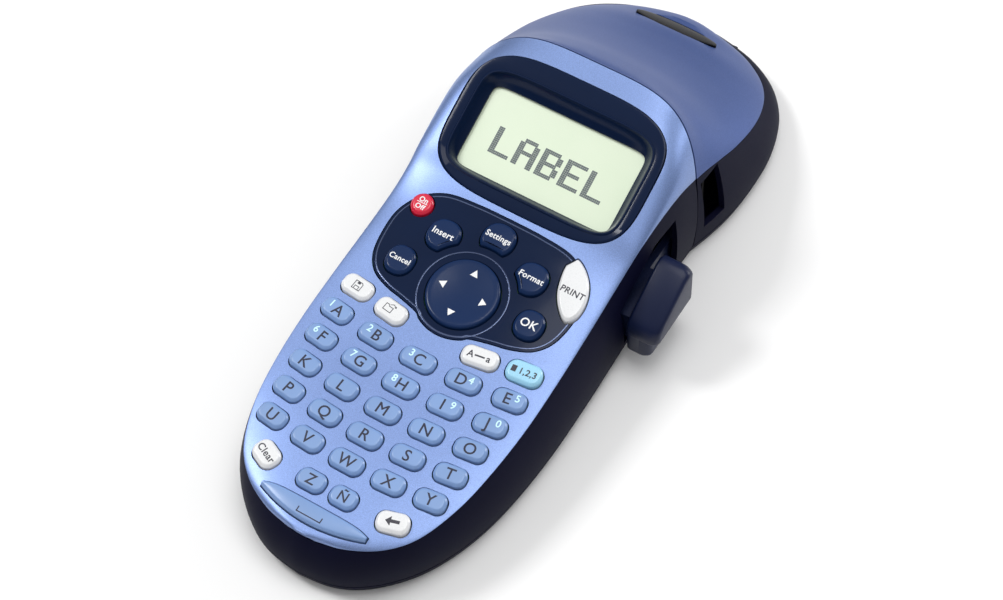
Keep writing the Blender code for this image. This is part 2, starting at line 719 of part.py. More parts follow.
def build_battery_door():
    door = box("battery_door", (-DOOR_X, DOOR_X), DOOR_Y, DOOR_Z, NAVY, roughness=0.5)
    thumb = box("thumb_recess", (-6.0, 6.0), (DOOR_Y[0] + 2.0, DOOR_Y[0] + 5.0), (-1.0, 0.8))
    boolean(door, thumb)
    set_origin(door, (0.0, DOOR_Y[1] - 0.6, (DOOR_Z[0] + DOOR_Z[1]) / 2))
    return door


def build_cutter():
    """The lever outside the wall, its arm inside, and the blade that the arm carries."""
    side = ((-2.6, 5.6), (17.8, 5.6), (17.8, 26.4), (15.6, 28.0), (12.6, 27.4), (0.2, 20.6),
            (-1.8, 18.6), (-2.6, 16.4))
    middle = (sum(y for y, _ in side) / len(side), sum(z for _, z in side) / len(side))

    def slab(x, shrink):
        return [(x, middle[0] + (y - middle[0]) * shrink, middle[1] + (z - middle[1]) * shrink)
                for y, z in side]

    lever = loft("cutter_lever", [slab(38.6, 1.0), slab(46.2, 1.0), slab(48.4, 0.86)], NAVY,
                 roughness=0.4)
    boolean(lever, box("lever_neck", (33.0, 39.0), (0.2, 16.8), (8.0, 18.0)), "UNION")
    boolean(lever, box("lever_arm", (32.7, 34.7), (0.2, 33.0), (8.0, 17.0)), "UNION")
    edge = ((22.0, 9.0), (36.5, 12.0), (38.2, 29.0), (22.0, 18.0))
    blade = loft("cutter_blade", [[(x, y, z) for y, z in edge] for x in (31.8, 32.4)], STEEL,
                 smooth=False, roughness=0.25, metallic=1.0)
    return lever, blade


def build_printer():
    head = box("print_head", (18.0, 30.0), (38.6, 42.4), (5.2, 24.0), GREY, metallic=0.4)
    roller = cylinder("platen_roller", (26.4, 47.7), 3.6, 5.6, 23.0, "Z", 20, BLACK,
                      roughness=0.8)
    set_origin(roller, (26.4, 47.7, 5.6))
    outline = oblong(54.0, 30.0, (-1.6, 67.4), corner=0.35)
    cassette = prism("tape_cassette", outline, 5.6, 17.6, GREY, roughness=0.35)
    return head, roller, cassette


# ---- arrow disc -------------------------------------------------------------------------
def build_disc():
    cx, cy = DISC_CENTRE
    base = top_height(cx, cy)
    slope = (top_height(cx, cy + 4.0) - top_height(cx, cy - 4.0)) / 8.0
    rings = ((DISC_R, -1.8), (DISC_R, 0.5), (DISC_R - 0.9, 1.1), (DISC_R * 0.5, 0.5))
    loops = [[(x, y, base + slope * (y - cy) + height)
              for x, y in superellipse(radius, radius, 2.0, 32, DISC_CENTRE)]
             for radius, height in rings]
    disc = loft("nav_disc", loops, DISC_BLUE, roughness=0.2)
    low = board_height(cy) + 0.5
    high = base - 2.4
    pivot = box("nav_pivot", (-3.2, 3.2), (cy - 1.1, cy + 1.1), (low, high), GREY)
    boolean(pivot, box("pivot_cross", (-1.1, 1.1), (cy - 3.2, cy + 3.2), (low, high)), "UNION")
    for obj in (disc, pivot):
        set_origin(obj, (cx, cy, (low + high) / 2))
    return disc, pivot


def key_colour(name):
    if name == "key_on_off":
        return RED
    if name == "key_number":
        return CYAN
    if name in ("key_save", "key_open", "key_caps", "key_clear", "key_backspace", "key_print"):
        return WHITE
    if name in NAV_KEYS:
        return DISC_BLUE
    return KEY_BLUE


def build():
    clear_scene()
    board_keys = letter_keys()
    board_keys.update(shaped_outlines())
    board_keys["key_space"] = space_outline()
    shared = {"key_print": print_outline(),
              "key_on_off": superellipse(3.2, 3.2, 2.0, 20, (-23.9, -4.2))}
    nav_keys = nav_key_outlines()
    disc_hole = {"disc": superellipse(DISC_R, DISC_R, 2.0, 32, DISC_CENTRE)}

    build_base_shell()
    build_mid_frame()
    build_front_panel({**board_keys, **shared})
    build_nav_panel({**nav_keys, **shared, **disc_hole})
    build_display()
    build_tape_cover()
    build_cover_skirt()
    build_board()
    build_batteries()
    build_battery_door()
    build_cutter()
    build_printer()
    build_disc()
    build_space_bar()
    for name, outline in {**board_keys, **shared, **nav_keys}.items():
        if name != "key_space":
            make_key(name, outline, key_colour(name))


build()
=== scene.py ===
"""Looks of the handheld label maker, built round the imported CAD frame.

The visible skins are rebuilt here finer than the CAD solids that they stand for, and ride on
the same bodies.  Lengths are in millimetres until a mesh is made.
"""
import json
import math

import bmesh
import bpy
import numpy as np
from mathutils import Euler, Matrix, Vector


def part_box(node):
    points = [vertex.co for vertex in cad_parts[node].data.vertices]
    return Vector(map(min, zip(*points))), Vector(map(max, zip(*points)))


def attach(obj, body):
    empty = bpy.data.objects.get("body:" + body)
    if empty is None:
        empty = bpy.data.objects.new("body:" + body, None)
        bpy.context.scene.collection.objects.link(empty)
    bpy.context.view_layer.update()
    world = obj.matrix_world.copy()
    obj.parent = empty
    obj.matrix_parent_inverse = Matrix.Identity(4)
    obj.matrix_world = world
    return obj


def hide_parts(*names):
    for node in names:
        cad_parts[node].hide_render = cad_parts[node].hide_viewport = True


MM = 0.001
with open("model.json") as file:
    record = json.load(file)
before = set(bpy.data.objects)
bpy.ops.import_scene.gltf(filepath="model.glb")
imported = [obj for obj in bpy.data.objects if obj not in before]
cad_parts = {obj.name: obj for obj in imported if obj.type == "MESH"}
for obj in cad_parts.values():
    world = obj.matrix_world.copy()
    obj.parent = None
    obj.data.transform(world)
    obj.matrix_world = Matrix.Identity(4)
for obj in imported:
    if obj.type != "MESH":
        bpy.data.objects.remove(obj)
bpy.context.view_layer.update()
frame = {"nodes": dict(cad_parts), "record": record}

# ---- driving dimensions, the same as the CAD model's --------------------------------------
GAP = 0.3
SEAM_Z = 4.6
FLOOR = 1.7
WALL = 1.8
PANEL_T = 1.7
KEY_RISE = 1.3
KEY_DEPTH = 2.0
KEY_GAP = 0.35
ROW_A = (0.0, -43.6)
ROW_PITCH = 8.45
COLUMNS = (26.9, 13.7)
COLUMN_STEP = (0.62, 0.3)
ROW_SMILE = 2.0
SPACE_HALF = 16.0
SPACE_DEPTH = 0.6
KEY_REACH = 14.8
DISC_CENTRE = (0.0, -21.7)
DISC_R = 10.1
DISC_RING_R = 13.2
SLOPE_BEZEL = 24.0
BEZEL_ORIGIN = (0.0, 23.4, 40.3)
BEZEL_HALF = (30.1, 20.2)
RIDGE_HALF = (26.6, 15.0)
WINDOW_HALF = (24.0, 12.2)
WINDOW_SHIFT = -2.2
WINDOW_DEPTH = 4.0
DISH_CENTRE = (0.0, 92.8)
DISH_HALF = (15.4, 5.0)
DISH_TILT = -33.0
SLOT_Y = (40.4, 48.8)
SLOT_Z = (10.6, 29.6)
CELL_Y = (-72.0, -22.4)
HINGE_Y = 103.6
HINGE_Z = 3.6
HINGE_R = 1.6
BARREL_HALF = 8.2
BARREL_END = 13.4
DOOR_X = 27.0
DOOR_Y = (-72.0, -23.0)
DOOR_Z = (0.4, 1.5)
GLASS_TOP = WINDOW_DEPTH + GAP
SCREWS = ((-19.0, -84.0), (19.0, -84.0), (-29.0, 26.0), (29.0, 26.0))
INK_THICK = 0.03          # thickness of printed lettering
INK_WEIGHT = 0.045        # how far each stroke of the lettering is widened
CAP_HEIGHT = 0.36         # middle of a capital letter, as a share of its size
FACE_RIM = 0.85           # the arrow disc's face starts this far inside its edge
FACE_TOP = 1.04
FACE_DISH = 0.54
REEL_SPOTS = ((-12.0, 67.0), (10.0, 67.0))
PLATEN_SPOT = (26.4, 47.7)

# Rows of a bowed skin: half width, edge y, edge z, crest y, crest z, squareness of the bow.
PANEL_SECTIONS = (
    (4.0, -99.0, 18.0, -99.2, 19.4, 3.0),
    (12.0, -97.2, 18.3, -97.6, 19.8, 3.0),
    (20.5, -92.8, 18.8, -93.2, 20.2, 3.0),
    (27.0, -85.6, 19.6, -86.0, 21.0, 3.0),
    (31.4, -74.0, 20.9, -74.0, 22.3, 3.0),
    (33.6, -61.0, 22.0, -61.0, 23.4, 3.0),
    (34.7, -46.0, 23.1, -46.0, 24.6, 3.0),
    (34.8, -30.0, 24.6, -30.0, 26.4, 3.0),
    (34.5, -14.0, 26.4, -14.0, 28.8, 3.5),
    (34.3, -3.0, 28.2, -3.0, 30.5, 4.0),
    (34.4, 5.0, 30.4, 5.0, 32.4, 6.0),
    (34.8, 12.0, 33.0, 12.5, 35.8, 7.0),
    (35.4, 22.0, 35.2, 23.5, 40.7, 8.0),
    (35.9, 31.0, 35.6, 36.0, 46.6, 5.8),
    (36.0, 38.8, 33.2, 48.3, 49.4, 4.4),
)
# Most of these numbers lean on a least-squares fit of the table to the photo's outline, made
# by a scratch program and then changed by hand.  They are not a design to copy from.
COVER_SECTIONS = (
    (36.1, 39.3, 32.8, 48.8, 49.1, 4.4),
    (36.7, 44.2, 31.8, 51.7, 47.3, 3.0),
    (37.3, 51.0, 29.3, 57.1, 42.9, 2.4),
    (37.5, 59.4, 25.4, 64.0, 36.9, 2.1),
    (36.7, 70.0, 20.6, 73.0, 30.6, 2.0),
    (34.7, 79.3, 16.4, 81.2, 25.8, 2.0),
    (31.4, 87.3, 13.2, 87.8, 22.3, 2.0),
    (26.4, 93.6, 11.0, 93.0, 18.8, 2.1),
    (18.6, 98.8, 9.8, 97.8, 15.7, 2.3),
    (8.4, 102.0, 9.2, 101.0, 13.0, 2.6),
    (3.4, 102.8, 9.0, 102.8, 9.6, 2.4),
)
FRONT_FOOT = (
    (0.0, -103.4), (9.0, -102.2), (16.5, -98.8), (23.5, -92.6), (29.6, -84.0), (34.4, -72.0),
    (37.2, -58.0), (38.5, -40.0), (38.3, -20.0), (37.5, 0.0), (37.0, 20.0), (37.2, 36.6),
)
COVER_FOOT = (
    (37.3, 37.1), (39.2, 44.0), (40.8, 52.0), (41.5, 61.0), (41.2, 72.0), (39.0, 82.0),
    (35.2, 90.2), (28.8, 96.9), (19.6, 101.6), (9.3, 103.7), (0.0, 104.1),
)
LETTER_ROWS = ("abcde", "fghij", "klmno", "pqrst", "uvwxy")
SHAPED_KEYS = {            # centre x and y, width, height, turn
    "key_save": (-25.9, -33.1, 9.4, 5.8, -6.0),
    "key_open": (-14.0, -35.0, 9.6, 5.8, -8.0),
    "key_caps": (13.9, -35.2, 10.4, 5.6, 8.0),
    "key_number": (26.2, -33.2, 10.0, 6.2, 6.0),
    "key_z": (-5.1, -86.2, 8.2, 5.6, 0.0),
    "key_n_tilde": (4.8, -86.2, 7.8, 5.6, 0.0),
    "key_clear": (-19.5, -85.6, 8.2, 6.2, -24.0),
    "key_backspace": (19.4, -85.6, 9.0, 5.8, 16.0),
}
NAV_KEYS = {               # centre x and y, width, height
    "key_insert": (-13.7, -9.5, 9.4, 9.4),
    "key_settings": (0.0, -3.7, 9.6, 9.2),
    "key_format": (13.7, -9.5, 9.4, 9.4),
    "key_cancel": (-20.2, -21.0, 8.2, 8.6),
    "key_ok": (20.2, -21.0, 8.2, 8.6),
}


# ---- materials ----------------------------------------------------------------------------
def nodes_of(name):
    mat = bpy.data.materials.new(name)
    mat.use_nodes = True
    return mat, mat.node_tree, mat.node_tree.nodes["Principled BSDF"]


def noise_at(tree, scale, detail=3.0, stretch=None):
    """A noise texture in the object's own coordinates; scale is per metre."""
    coords = tree.nodes.new("ShaderNodeTexCoord")
    source = coords.outputs["Object"]
    if stretch is not None:
        mapping = tree.nodes.new("ShaderNodeMapping")
        mapping.inputs["Scale"].default_value = stretch
        tree.links.new(source, mapping.inputs["Vector"])
        source = mapping.outputs["Vector"]
    noise = tree.nodes.new("ShaderNodeTexNoise")
    adjust(noise, {"Scale": scale, "Detail": detail})
    tree.links.new(source, noise.inputs["Vector"])
    return noise


def ramp_between(tree, factor, low, high, span=(0.3, 0.7)):
    ramp = tree.nodes.new("ShaderNodeValToRGB")
    ramp.color_ramp.elements[0].position = span[0]
    ramp.color_ramp.elements[1].position = span[1]
    ramp.color_ramp.elements[0].color = (*low, 1.0)
    ramp.color_ramp.elements[1].color = (*high, 1.0)
    tree.links.new(factor, ramp.inputs["Fac"])
    return ramp.outputs["Color"]


def add_bump(tree, shader, height, strength, distance):
    bump = tree.nodes.new("ShaderNodeBump")
    adjust(bump, {"Strength": strength, "Distance": distance})
    tree.links.new(height, bump.inputs["Height"])
    tree.links.new(bump.outputs["Normal"], shader.inputs["Normal"])


def shade(colour, factor):
    return tuple(min(1.0, c * factor) for c in colour)


def adjust(node, values):
    for name, value in values.items():
        node.inputs[name].default_value = value


def multiply(tree, shader, first, second):
    """Send the product of two colours to the shader's base colour."""
    mix = tree.nodes.new("ShaderNodeMix")
    mix.data_type = "RGBA"
    mix.blend_type = "MULTIPLY"
    mix.inputs["Factor"].default_value = 1.0
    tree.links.new(first, mix.inputs["A"])
    tree.links.new(second, mix.inputs["B"])
    tree.links.new(mix.outputs["Result"], shader.inputs["Base Color"])


def plastic(name, colour, roughness, spread=0.05, grain=2600.0, bump=0.12, metallic=0.0,
            coat=0.0, coat_roughness=0.08, specular=0.5, variation=0.06):
    """Moulded plastic: fine grain in the bump, slow variation in colour and roughness."""
    mat, tree, shader = nodes_of(name)
    slow = noise_at(tree, 45.0, 4.0)
    colour_out = ramp_between(tree, slow.outputs["Fac"], shade(colour, 1.0 - variation),
                              shade(colour, 1.0 + variation))
    tree.links.new(colour_out, shader.inputs["Base Color"])
    fine = noise_at(tree, grain, 2.0)
    rough = tree.nodes.new("ShaderNodeMapRange")
    adjust(rough, {"To Min": roughness - spread, "To Max": roughness + spread})
    tree.links.new(fine.outputs["Fac"], rough.inputs["Value"])
    tree.links.new(rough.outputs["Result"], shader.inputs["Roughness"])
    add_bump(tree, shader, fine.outputs["Fac"], bump, 0.00004)
    adjust(shader, {"Metallic": metallic, "Coat Weight": coat, "Coat Roughness": coat_roughness,
                    "Specular IOR Level": specular})
    return mat


def metallic_paint(name, colour, metallic=0.6, coat=0.2, specular=0.5):
    """Satin paint with fine metal flake under a thin clear coat."""
    mat, tree, shader = nodes_of(name)
    flake = noise_at(tree, 5200.0, 1.0)
    slow = noise_at(tree, 30.0, 3.0)
    flecks = ramp_between(tree, flake.outputs["Fac"], shade(colour, 0.86), shade(colour, 1.16),
                          (0.35, 0.68))
    wash = ramp_between(tree, slow.outputs["Fac"], (0.95, 0.95, 0.96), (1.0, 1.0, 1.0))
    multiply(tree, shader, flecks, wash)
    add_bump(tree, shader, flake.outputs["Fac"], 0.10, 0.00003)
    adjust(shader, {"Metallic": metallic, "Roughness": 0.42, "Coat Weight": coat,
                    "Coat Roughness": 0.2, "Specular IOR Level": specular})
    return mat


def brushed(name, colour, roughness, stretch=(1.0, 40.0, 1.0)):
    mat, tree, shader = nodes_of(name)
    lines = noise_at(tree, 900.0, 3.0, stretch)
    tone = ramp_between(tree, lines.outputs["Fac"], shade(colour, 0.88), shade(colour, 1.08))
    tree.links.new(tone, shader.inputs["Base Color"])
    add_bump(tree, shader, lines.outputs["Fac"], 0.15, 0.00002)
    adjust(shader, {"Metallic": 1.0, "Roughness": roughness})
    return mat


def lcd_material():
    """Reflective display glass: pale green with a faint dot grid and mottling."""
    mat, tree, shader = nodes_of("display_glass")
    coords = tree.nodes.new("ShaderNodeTexCoord")
    grid = tree.nodes.new("ShaderNodeTexBrick")
    adjust(grid, {"Scale": 1500.0, "Color1": (0.80, 0.90, 0.71, 1.0),
                  "Color2": (0.79, 0.89, 0.70, 1.0), "Mortar": (0.76, 0.86, 0.67, 1.0),
                  "Mortar Size": 0.03})
    grid.offset = 0.0
    tree.links.new(coords.outputs["Object"], grid.inputs["Vector"])
    slow = noise_at(tree, 60.0, 2.0)
    tint = ramp_between(tree, slow.outputs["Fac"], (0.95, 0.97, 0.95), (1.0, 1.0, 1.0))
    multiply(tree, shader, grid.outputs["Color"], tint)
    adjust(shader, {"Roughness": 0.35, "Coat Weight": 0.3, "Coat Roughness": 0.1})
    return mat


def board_material():
    """Green solder mask with copper tracks showing faintly through it."""
    mat, tree, shader = nodes_of("solder_mask")
    coords = tree.nodes.new("ShaderNodeTexCoord")
    wave = tree.nodes.new("ShaderNodeTexWave")
    adjust(wave, {"Scale": 220.0, "Distortion": 6.0})
    tree.links.new(coords.outputs["Object"], wave.inputs["Vector"])
    tone = ramp_between(tree, wave.outputs["Fac"], (0.015, 0.12, 0.045), (0.03, 0.22, 0.08),
                        (0.45, 0.55))
    tree.links.new(tone, shader.inputs["Base Color"])
    shader.inputs["Roughness"].default_value = 0.3
    return mat


def make_materials():
    return {
        "blue": metallic_paint("blue_metallic", (0.195, 0.285, 0.55)),
        # The dome's paint is a darker copy of the panel's blue: painted shade, darkening the dome
        # the way the lighting darkens it.
        "dome": metallic_paint("blue_dome_painted_shade", (0.070, 0.112, 0.29), 0.35, 0.0, 0.15),
        "navy": plastic("navy_side", (0.0035, 0.004, 0.018), 0.5, bump=0.2, specular=0.05),
        "gloss": plastic("gloss_navy", (0.004, 0.012, 0.042), 0.16, spread=0.02, grain=400.0,
                         bump=0.01, coat=0.04, coat_roughness=0.05, specular=0.14),
        "key": plastic("key_blue", (0.205, 0.335, 0.62), 0.34, spread=0.04, bump=0.06,
                       coat=0.2, coat_roughness=0.15),
        "disc": plastic("disc_navy", (0.006, 0.023, 0.085), 0.24, spread=0.03, bump=0.03,
                        coat=0.05, coat_roughness=0.1, specular=0.2),
        "white": plastic("key_white", (0.80, 0.81, 0.82), 0.28, spread=0.04, bump=0.05,
                         coat=0.25, variation=0.02),
        "cyan": plastic("key_cyan", (0.34, 0.66, 0.86), 0.28, spread=0.04, bump=0.05, coat=0.25),
        "red": plastic("key_red", (0.66, 0.010, 0.045), 0.26, spread=0.03, bump=0.05, coat=0.3),
        "lever": plastic("lever_navy", (0.006, 0.011, 0.042), 0.36, bump=0.15, specular=0.25),
        # Lighter, metallic blue for the raised beads: painted highlight, standing in for the light
        # that the edge fillets catch.
        "bead_highlight": plastic("bead_painted_highlight", (0.07, 0.10, 0.20), 0.2, spread=0.03, bump=0.02,
                        metallic=0.6, coat=0.4),
        "window": plastic("window_black", (0.003, 0.003, 0.005), 0.2, spread=0.02, bump=0.02,
                          specular=0.06),
        "ink_white": plastic("ink_white", (0.86, 0.87, 0.88), 0.5, bump=0.02, variation=0.02),
        "ink_navy": plastic("ink_navy", (0.006, 0.009, 0.035), 0.5, bump=0.02),
        "ink_cyan": plastic("ink_cyan", (0.62, 0.93, 1.0), 0.5, bump=0.02, variation=0.03),
        "ink_black": plastic("ink_black", (0.03, 0.03, 0.045), 0.5, bump=0.02),
        "lcd": lcd_material(),
        "segment": plastic("display_segment", (0.115, 0.14, 0.15), 0.5, bump=0.0,
                           variation=0.03),
        "black": plastic("black_void", (0.004, 0.004, 0.006), 0.6, bump=0.1, specular=0.2),
        "rubber": plastic("roller_rubber", (0.012, 0.012, 0.013), 0.75, bump=0.35, grain=1400.0,
                          specular=0.25),
        "steel": brushed("blade_steel", (0.62, 0.63, 0.65), 0.24),
        "head": brushed("head_metal", (0.50, 0.51, 0.53), 0.35, (1.0, 1.0, 30.0)),
        "cell": brushed("cell_jacket", (0.24, 0.26, 0.30), 0.30, (30.0, 1.0, 1.0)),
        "board": board_material(),
        "cassette": plastic("cassette_grey", (0.30, 0.31, 0.33), 0.35, bump=0.15),
    }


# ---- mesh helpers -------------------------------------------------------------------------
def put(name, data):
    """A new object in the scene."""
    obj = bpy.data.objects.new(name, data)
    bpy.context.scene.collection.objects.link(obj)
    return obj


def mesh_from(bm, name):
    mesh = bpy.data.meshes.new(name)
    bm.to_mesh(mesh)
    bm.free()
    return mesh


def finish_mesh(obj, mat, angle=32.0):
    mesh = obj.data
    mesh.materials.clear()
    mesh.materials.append(mat)
    mesh.shade_smooth()
    mesh.set_sharp_from_angle(angle=math.radians(angle))
    return obj


def mesh_object(name, points, faces):
    bm = bmesh.new()
    verts = [bm.verts.new(Vector(p) * MM) for p in points]
    for face in faces:
        bm.faces.new([verts[i] for i in face])
    bmesh.ops.recalc_face_normals(bm, faces=bm.faces)
    return put(name, mesh_from(bm, name))


def skin_faces(loop_count, count, closed):
    faces = []
    for k in range(loop_count if closed else loop_count - 1):
        a = k * count
        b = ((k + 1) % loop_count) * count
        for i in range(count):
            j = (i + 1) % count
            faces.append((a + i, a + j, b + j, b + i))
    return faces


def loft(name, loops, ring=False):
    count = len(loops[0])
    faces = skin_faces(len(loops), count, ring)
    if not ring:
        last = (len(loops) - 1) * count
        faces.append(tuple(range(count)))
        faces.append(tuple(range(last, last + count)))
    return mesh_object(name, [p for loop in loops for p in loop], faces)


def strip_loft(name, sections):
    half = len(sections[0][0])
    loops = [list(outer) + list(inner)[::-1] for outer, inner in sections]
    count = 2 * half
    faces = skin_faces(len(loops), count, False)
    for base in (0, (len(loops) - 1) * count):
        for i in range(half - 1):
            faces.append((base + i, base + i + 1, base + count - 2 - i, base + count - 1 - i))
    return mesh_object(name, [p for loop in loops for p in loop], faces)


def prism(name, outline, z_low, z_high):
    low = [(x, y, z_low) for x, y in outline]
    high = [(x, y, z_high) for x, y in outline]
    return loft(name, [low, high])


def box(name, x, y, z):
    outline = [(x[0], y[0]), (x[1], y[0]), (x[1], y[1]), (x[0], y[1])]
    return prism(name, outline, z[0], z[1])


def boolean(target, tool, operation="DIFFERENCE"):
    mod = target.modifiers.new(operation.lower(), "BOOLEAN")
    mod.operation = operation
    mod.object = tool
    mod.solver = "EXACT"


def settle(obj, tools=()):
    """Keep the evaluated mesh of an object, without its modifiers and their tools."""
    bpy.context.view_layer.update()
    graph = bpy.context.evaluated_depsgraph_get()
    mesh = bpy.data.meshes.new_from_object(obj.evaluated_get(graph))
    obj.modifiers.clear()
    obj.data = mesh
    for tool in tools:
        bpy.data.objects.remove(tool, do_unlink=True)
    return obj


def cut(obj, tools, operation="DIFFERENCE"):
    for tool in tools:
        boolean(obj, tool, operation)
    return settle(obj, tools)


def join_meshes(name, objects):
    bm = bmesh.new()
    for obj in objects:
        bm.from_mesh(obj.data)
        bpy.data.objects.remove(obj, do_unlink=True)
    return put(name, mesh_from(bm, name))


def catmull(points, steps):
    pts = np.array(points, dtype=float)
    pts = np.vstack([2 * pts[0] - pts[1], pts, 2 * pts[-1] - pts[-2]])
    out = []
    for i in range(1, len(pts) - 2):
        p0, p1, p2, p3 = pts[i - 1:i + 3]
        for k in range(steps):
            t = k / steps
            out.append(0.5 * (2 * p1 + (p2 - p0) * t + (2 * p0 - 5 * p1 + 4 * p2 - p3) * t**2
                              + (3 * p1 - p0 - 3 * p2 + p3) * t**3))
    out.append(pts[-2])
    return np.array(out)


def resample(curve, count):
    gaps = np.linalg.norm(np.diff(curve, axis=0), axis=1)
    run = np.concatenate([[0.0], np.cumsum(gaps)])
    at = np.linspace(0.0, run[-1], count)
    return np.stack([np.interp(at, run, curve[:, k]) for k in range(curve.shape[1])], axis=1)


def superellipse(half_x, half_y, power, count, centre=(0.0, 0.0)):
    loop = []
    for i in range(count):
        a = 2 * math.pi * (i + 0.5) / count
        c = math.cos(a)
        s = math.sin(a)
        x = half_x * math.copysign(abs(c) ** (2 / power), c)
        y = half_y * math.copysign(abs(s) ** (2 / power), s)
        loop.append((centre[0] + x, centre[1] + y))
    return loop


def turned(x, y, degrees):
    a = math.radians(degrees)
    return x * math.cos(a) - y * math.sin(a), x * math.sin(a) + y * math.cos(a)


def oblong(width, height, centre, turn, corner=0.42, per_corner=9):
    """A rectangle with rounded corners; corner is the radius as a share of the height."""
    r = corner * height
    loop = []
    for k, (sx, sy) in enumerate(((1, 1), (-1, 1), (-1, -1), (1, -1))):
        cx = sx * (width / 2 - r)
        cy = sy * (height / 2 - r)
        for i in range(per_corner):
            a = math.pi / 2 * (k + i / (per_corner - 1))
            x, y = turned(cx + r * math.cos(a), cy + r * math.sin(a), turn)
            loop.append((centre[0] + x, centre[1] + y))
    return loop


def grow(outline, distance):
    pts = np.array(outline, dtype=float)
    after = np.roll(pts, -1, axis=0)
    edge = after - pts
    edge /= np.linalg.norm(edge, axis=1)[:, None]
    normal = np.stack([edge[:, 1], -edge[:, 0]], axis=1)
    previous = np.roll(normal, 1, axis=0)
    turn = np.maximum(1.0 + np.sum(normal * previous, axis=1), 0.5)
    mitre = (normal + previous) / turn[:, None]
    area = 0.5 * np.sum(pts[:, 0] * after[:, 1] - after[:, 0] * pts[:, 1])
    return [tuple(p) for p in pts + mitre * distance * math.copysign(1.0, area)]


# ---- surfaces -----------------------------------------------------------------------------
def section_height(u, power):
    return max(0.0, 1.0 - abs(u) ** power) ** (1.0 / (1.3 + 0.14 * (power - 3.0)))


def bowed_section(values, across, inset=0.0):
    half, edge_y, edge_z, crest_y, crest_z, power = values
    half -= inset
    crest = crest_z
    if inset > 0.0:
        crest = max(crest_z - inset, edge_z + 0.05)
    line = []
    for u in across:
        y = edge_y + (crest_y - edge_y) * (1.0 - u**4)
        z = edge_z + (crest - edge_z) * section_height(u, power)
        line.append((half * u, y, z))
    return line


ACROSS = [math.sin(math.pi / 2 * (-1.0 + 2.0 * i / 64)) for i in range(65)]


def shell_from_sections(name, sections, steps):
    return strip_loft(name, [(bowed_section(values, ACROSS),
                              bowed_section(values, ACROSS, inset=PANEL_T))
                             for values in catmull(sections, steps)])


PANEL_TABLE = catmull(PANEL_SECTIONS, 6)


def top_height(x, y):
    half, edge_z, crest_z, power = (np.interp(y, PANEL_TABLE[:, 3], PANEL_TABLE[:, k])
                                    for k in (0, 2, 4, 5))
    u = min(1.0, abs(x) / half)
    return edge_z + (crest_z - edge_z) * section_height(u, power)


def bezel_point(x, y, depth):
    tilt = math.radians(SLOPE_BEZEL)
    return (BEZEL_ORIGIN[0] + x,
            BEZEL_ORIGIN[1] + y * math.cos(tilt) + depth * math.sin(tilt),
            BEZEL_ORIGIN[2] + y * math.sin(tilt) - depth * math.cos(tilt))


def nav_outline():
    right = [(10.0, 2.7), (19.5, 1.6), (26.0, -2.2), (29.4, -8.2), (29.6, -15.6),
             (28.2, -22.2), (24.8, -26.7), (19.4, -29.2), (14.0, -30.4)]
    start = math.asin((-31.8 - DISC_CENTRE[1]) / DISC_RING_R)
    for k in range(5):
        a = start + (-math.pi / 2 - start) * k / 4.5
        right.append((DISC_RING_R * math.cos(a), DISC_CENTRE[1] + DISC_RING_R * math.sin(a)))
    curve = catmull([(0.0, 2.9)] + right + [(0.0, DISC_CENTRE[1] - DISC_RING_R)], 8)
    curve = [tuple(p) for p in curve]
    return curve + [(-x, y) for x, y in curve[-2:0:-1]]


def print_outline(steps=6):
    right = [(21.6, 1.4), (25.2, -0.4), (28.4, -4.0), (30.0, -8.6), (29.9, -13.0)]
    left = [(28.0, -15.4), (25.0, -13.6), (22.0, -9.8), (20.3, -4.9), (19.9, -0.9)]
    loop = right + left
    curve = catmull([loop[-1]] + loop + [loop[0]], steps)
    return [tuple(p) for p in curve[steps:-steps]][:-1]


def space_edges(x):
    """Far and near edges of the space bar, which follows the end of the panel."""
    t = x / SPACE_HALF
    return -91.2 - 1.0 * t**6, -96.7 + 3.3 * t**2


def space_outline():
    across = np.linspace(SPACE_HALF, -SPACE_HALF, 41)
    upper = [(x, space_edges(x)[0]) for x in across]
    lower = [(x, space_edges(x)[1]) for x in across[::-1]]
    return upper + lower


def clear_of_disc(outline):
    """Push an outline back to the rim round the arrow disc, where it comes too close."""
    pushed = []
    for x, y in outline:
        away = max(1.0, KEY_REACH / math.hypot(x - DISC_CENTRE[0], y - DISC_CENTRE[1]))
        pushed.append((DISC_CENTRE[0] + (x - DISC_CENTRE[0]) * away,
                       DISC_CENTRE[1] + (y - DISC_CENTRE[1]) * away))
    return pushed


def letter_spot(row, column):
    """Centre, width and turn of a letter key."""
    side = column - 2
    x = 0.0
    if abs(side) == 1:
        x = math.copysign(COLUMNS[1] - COLUMN_STEP[1] * row, side)
    if abs(side) == 2:
        x = math.copysign(COLUMNS[0] - COLUMN_STEP[0] * row, side)
    y = ROW_A[1] - ROW_PITCH * row + ROW_SMILE * (x / COLUMNS[0]) ** 2
    return x, y, 10.2 - 0.45 * abs(side) - 0.12 * row, 4.0 * side


def key_outlines():
    board = {}
    for row, letters in enumerate(LETTER_ROWS):
        for column, letter in enumerate(letters):
            x, y, width, turn = letter_spot(row, column)
            board["key_" + letter] = oblong(width, 5.6, (x, y), turn)
    for name, (x, y, w, h, turn) in SHAPED_KEYS.items():
        board[name] = clear_of_disc(oblong(w, h, (x, y), turn))
    board["key_space"] = space_outline()
    nav = {name: clear_of_disc(superellipse(w / 2, h / 2, 2.3, 72, (x, y)))
           for name, (x, y, w, h) in NAV_KEYS.items()}
    shared = {"key_print": print_outline(),
              "key_on_off": superellipse(3.2, 3.2, 2.0, 40, (-23.9, -4.2))}
    return board, nav, shared


def mirrored_path(half):
    half = [tuple(p) for p in half]
    left = [(-p[0],) + tuple(p[1:]) for p in half[-2::-1]]
    return half + left


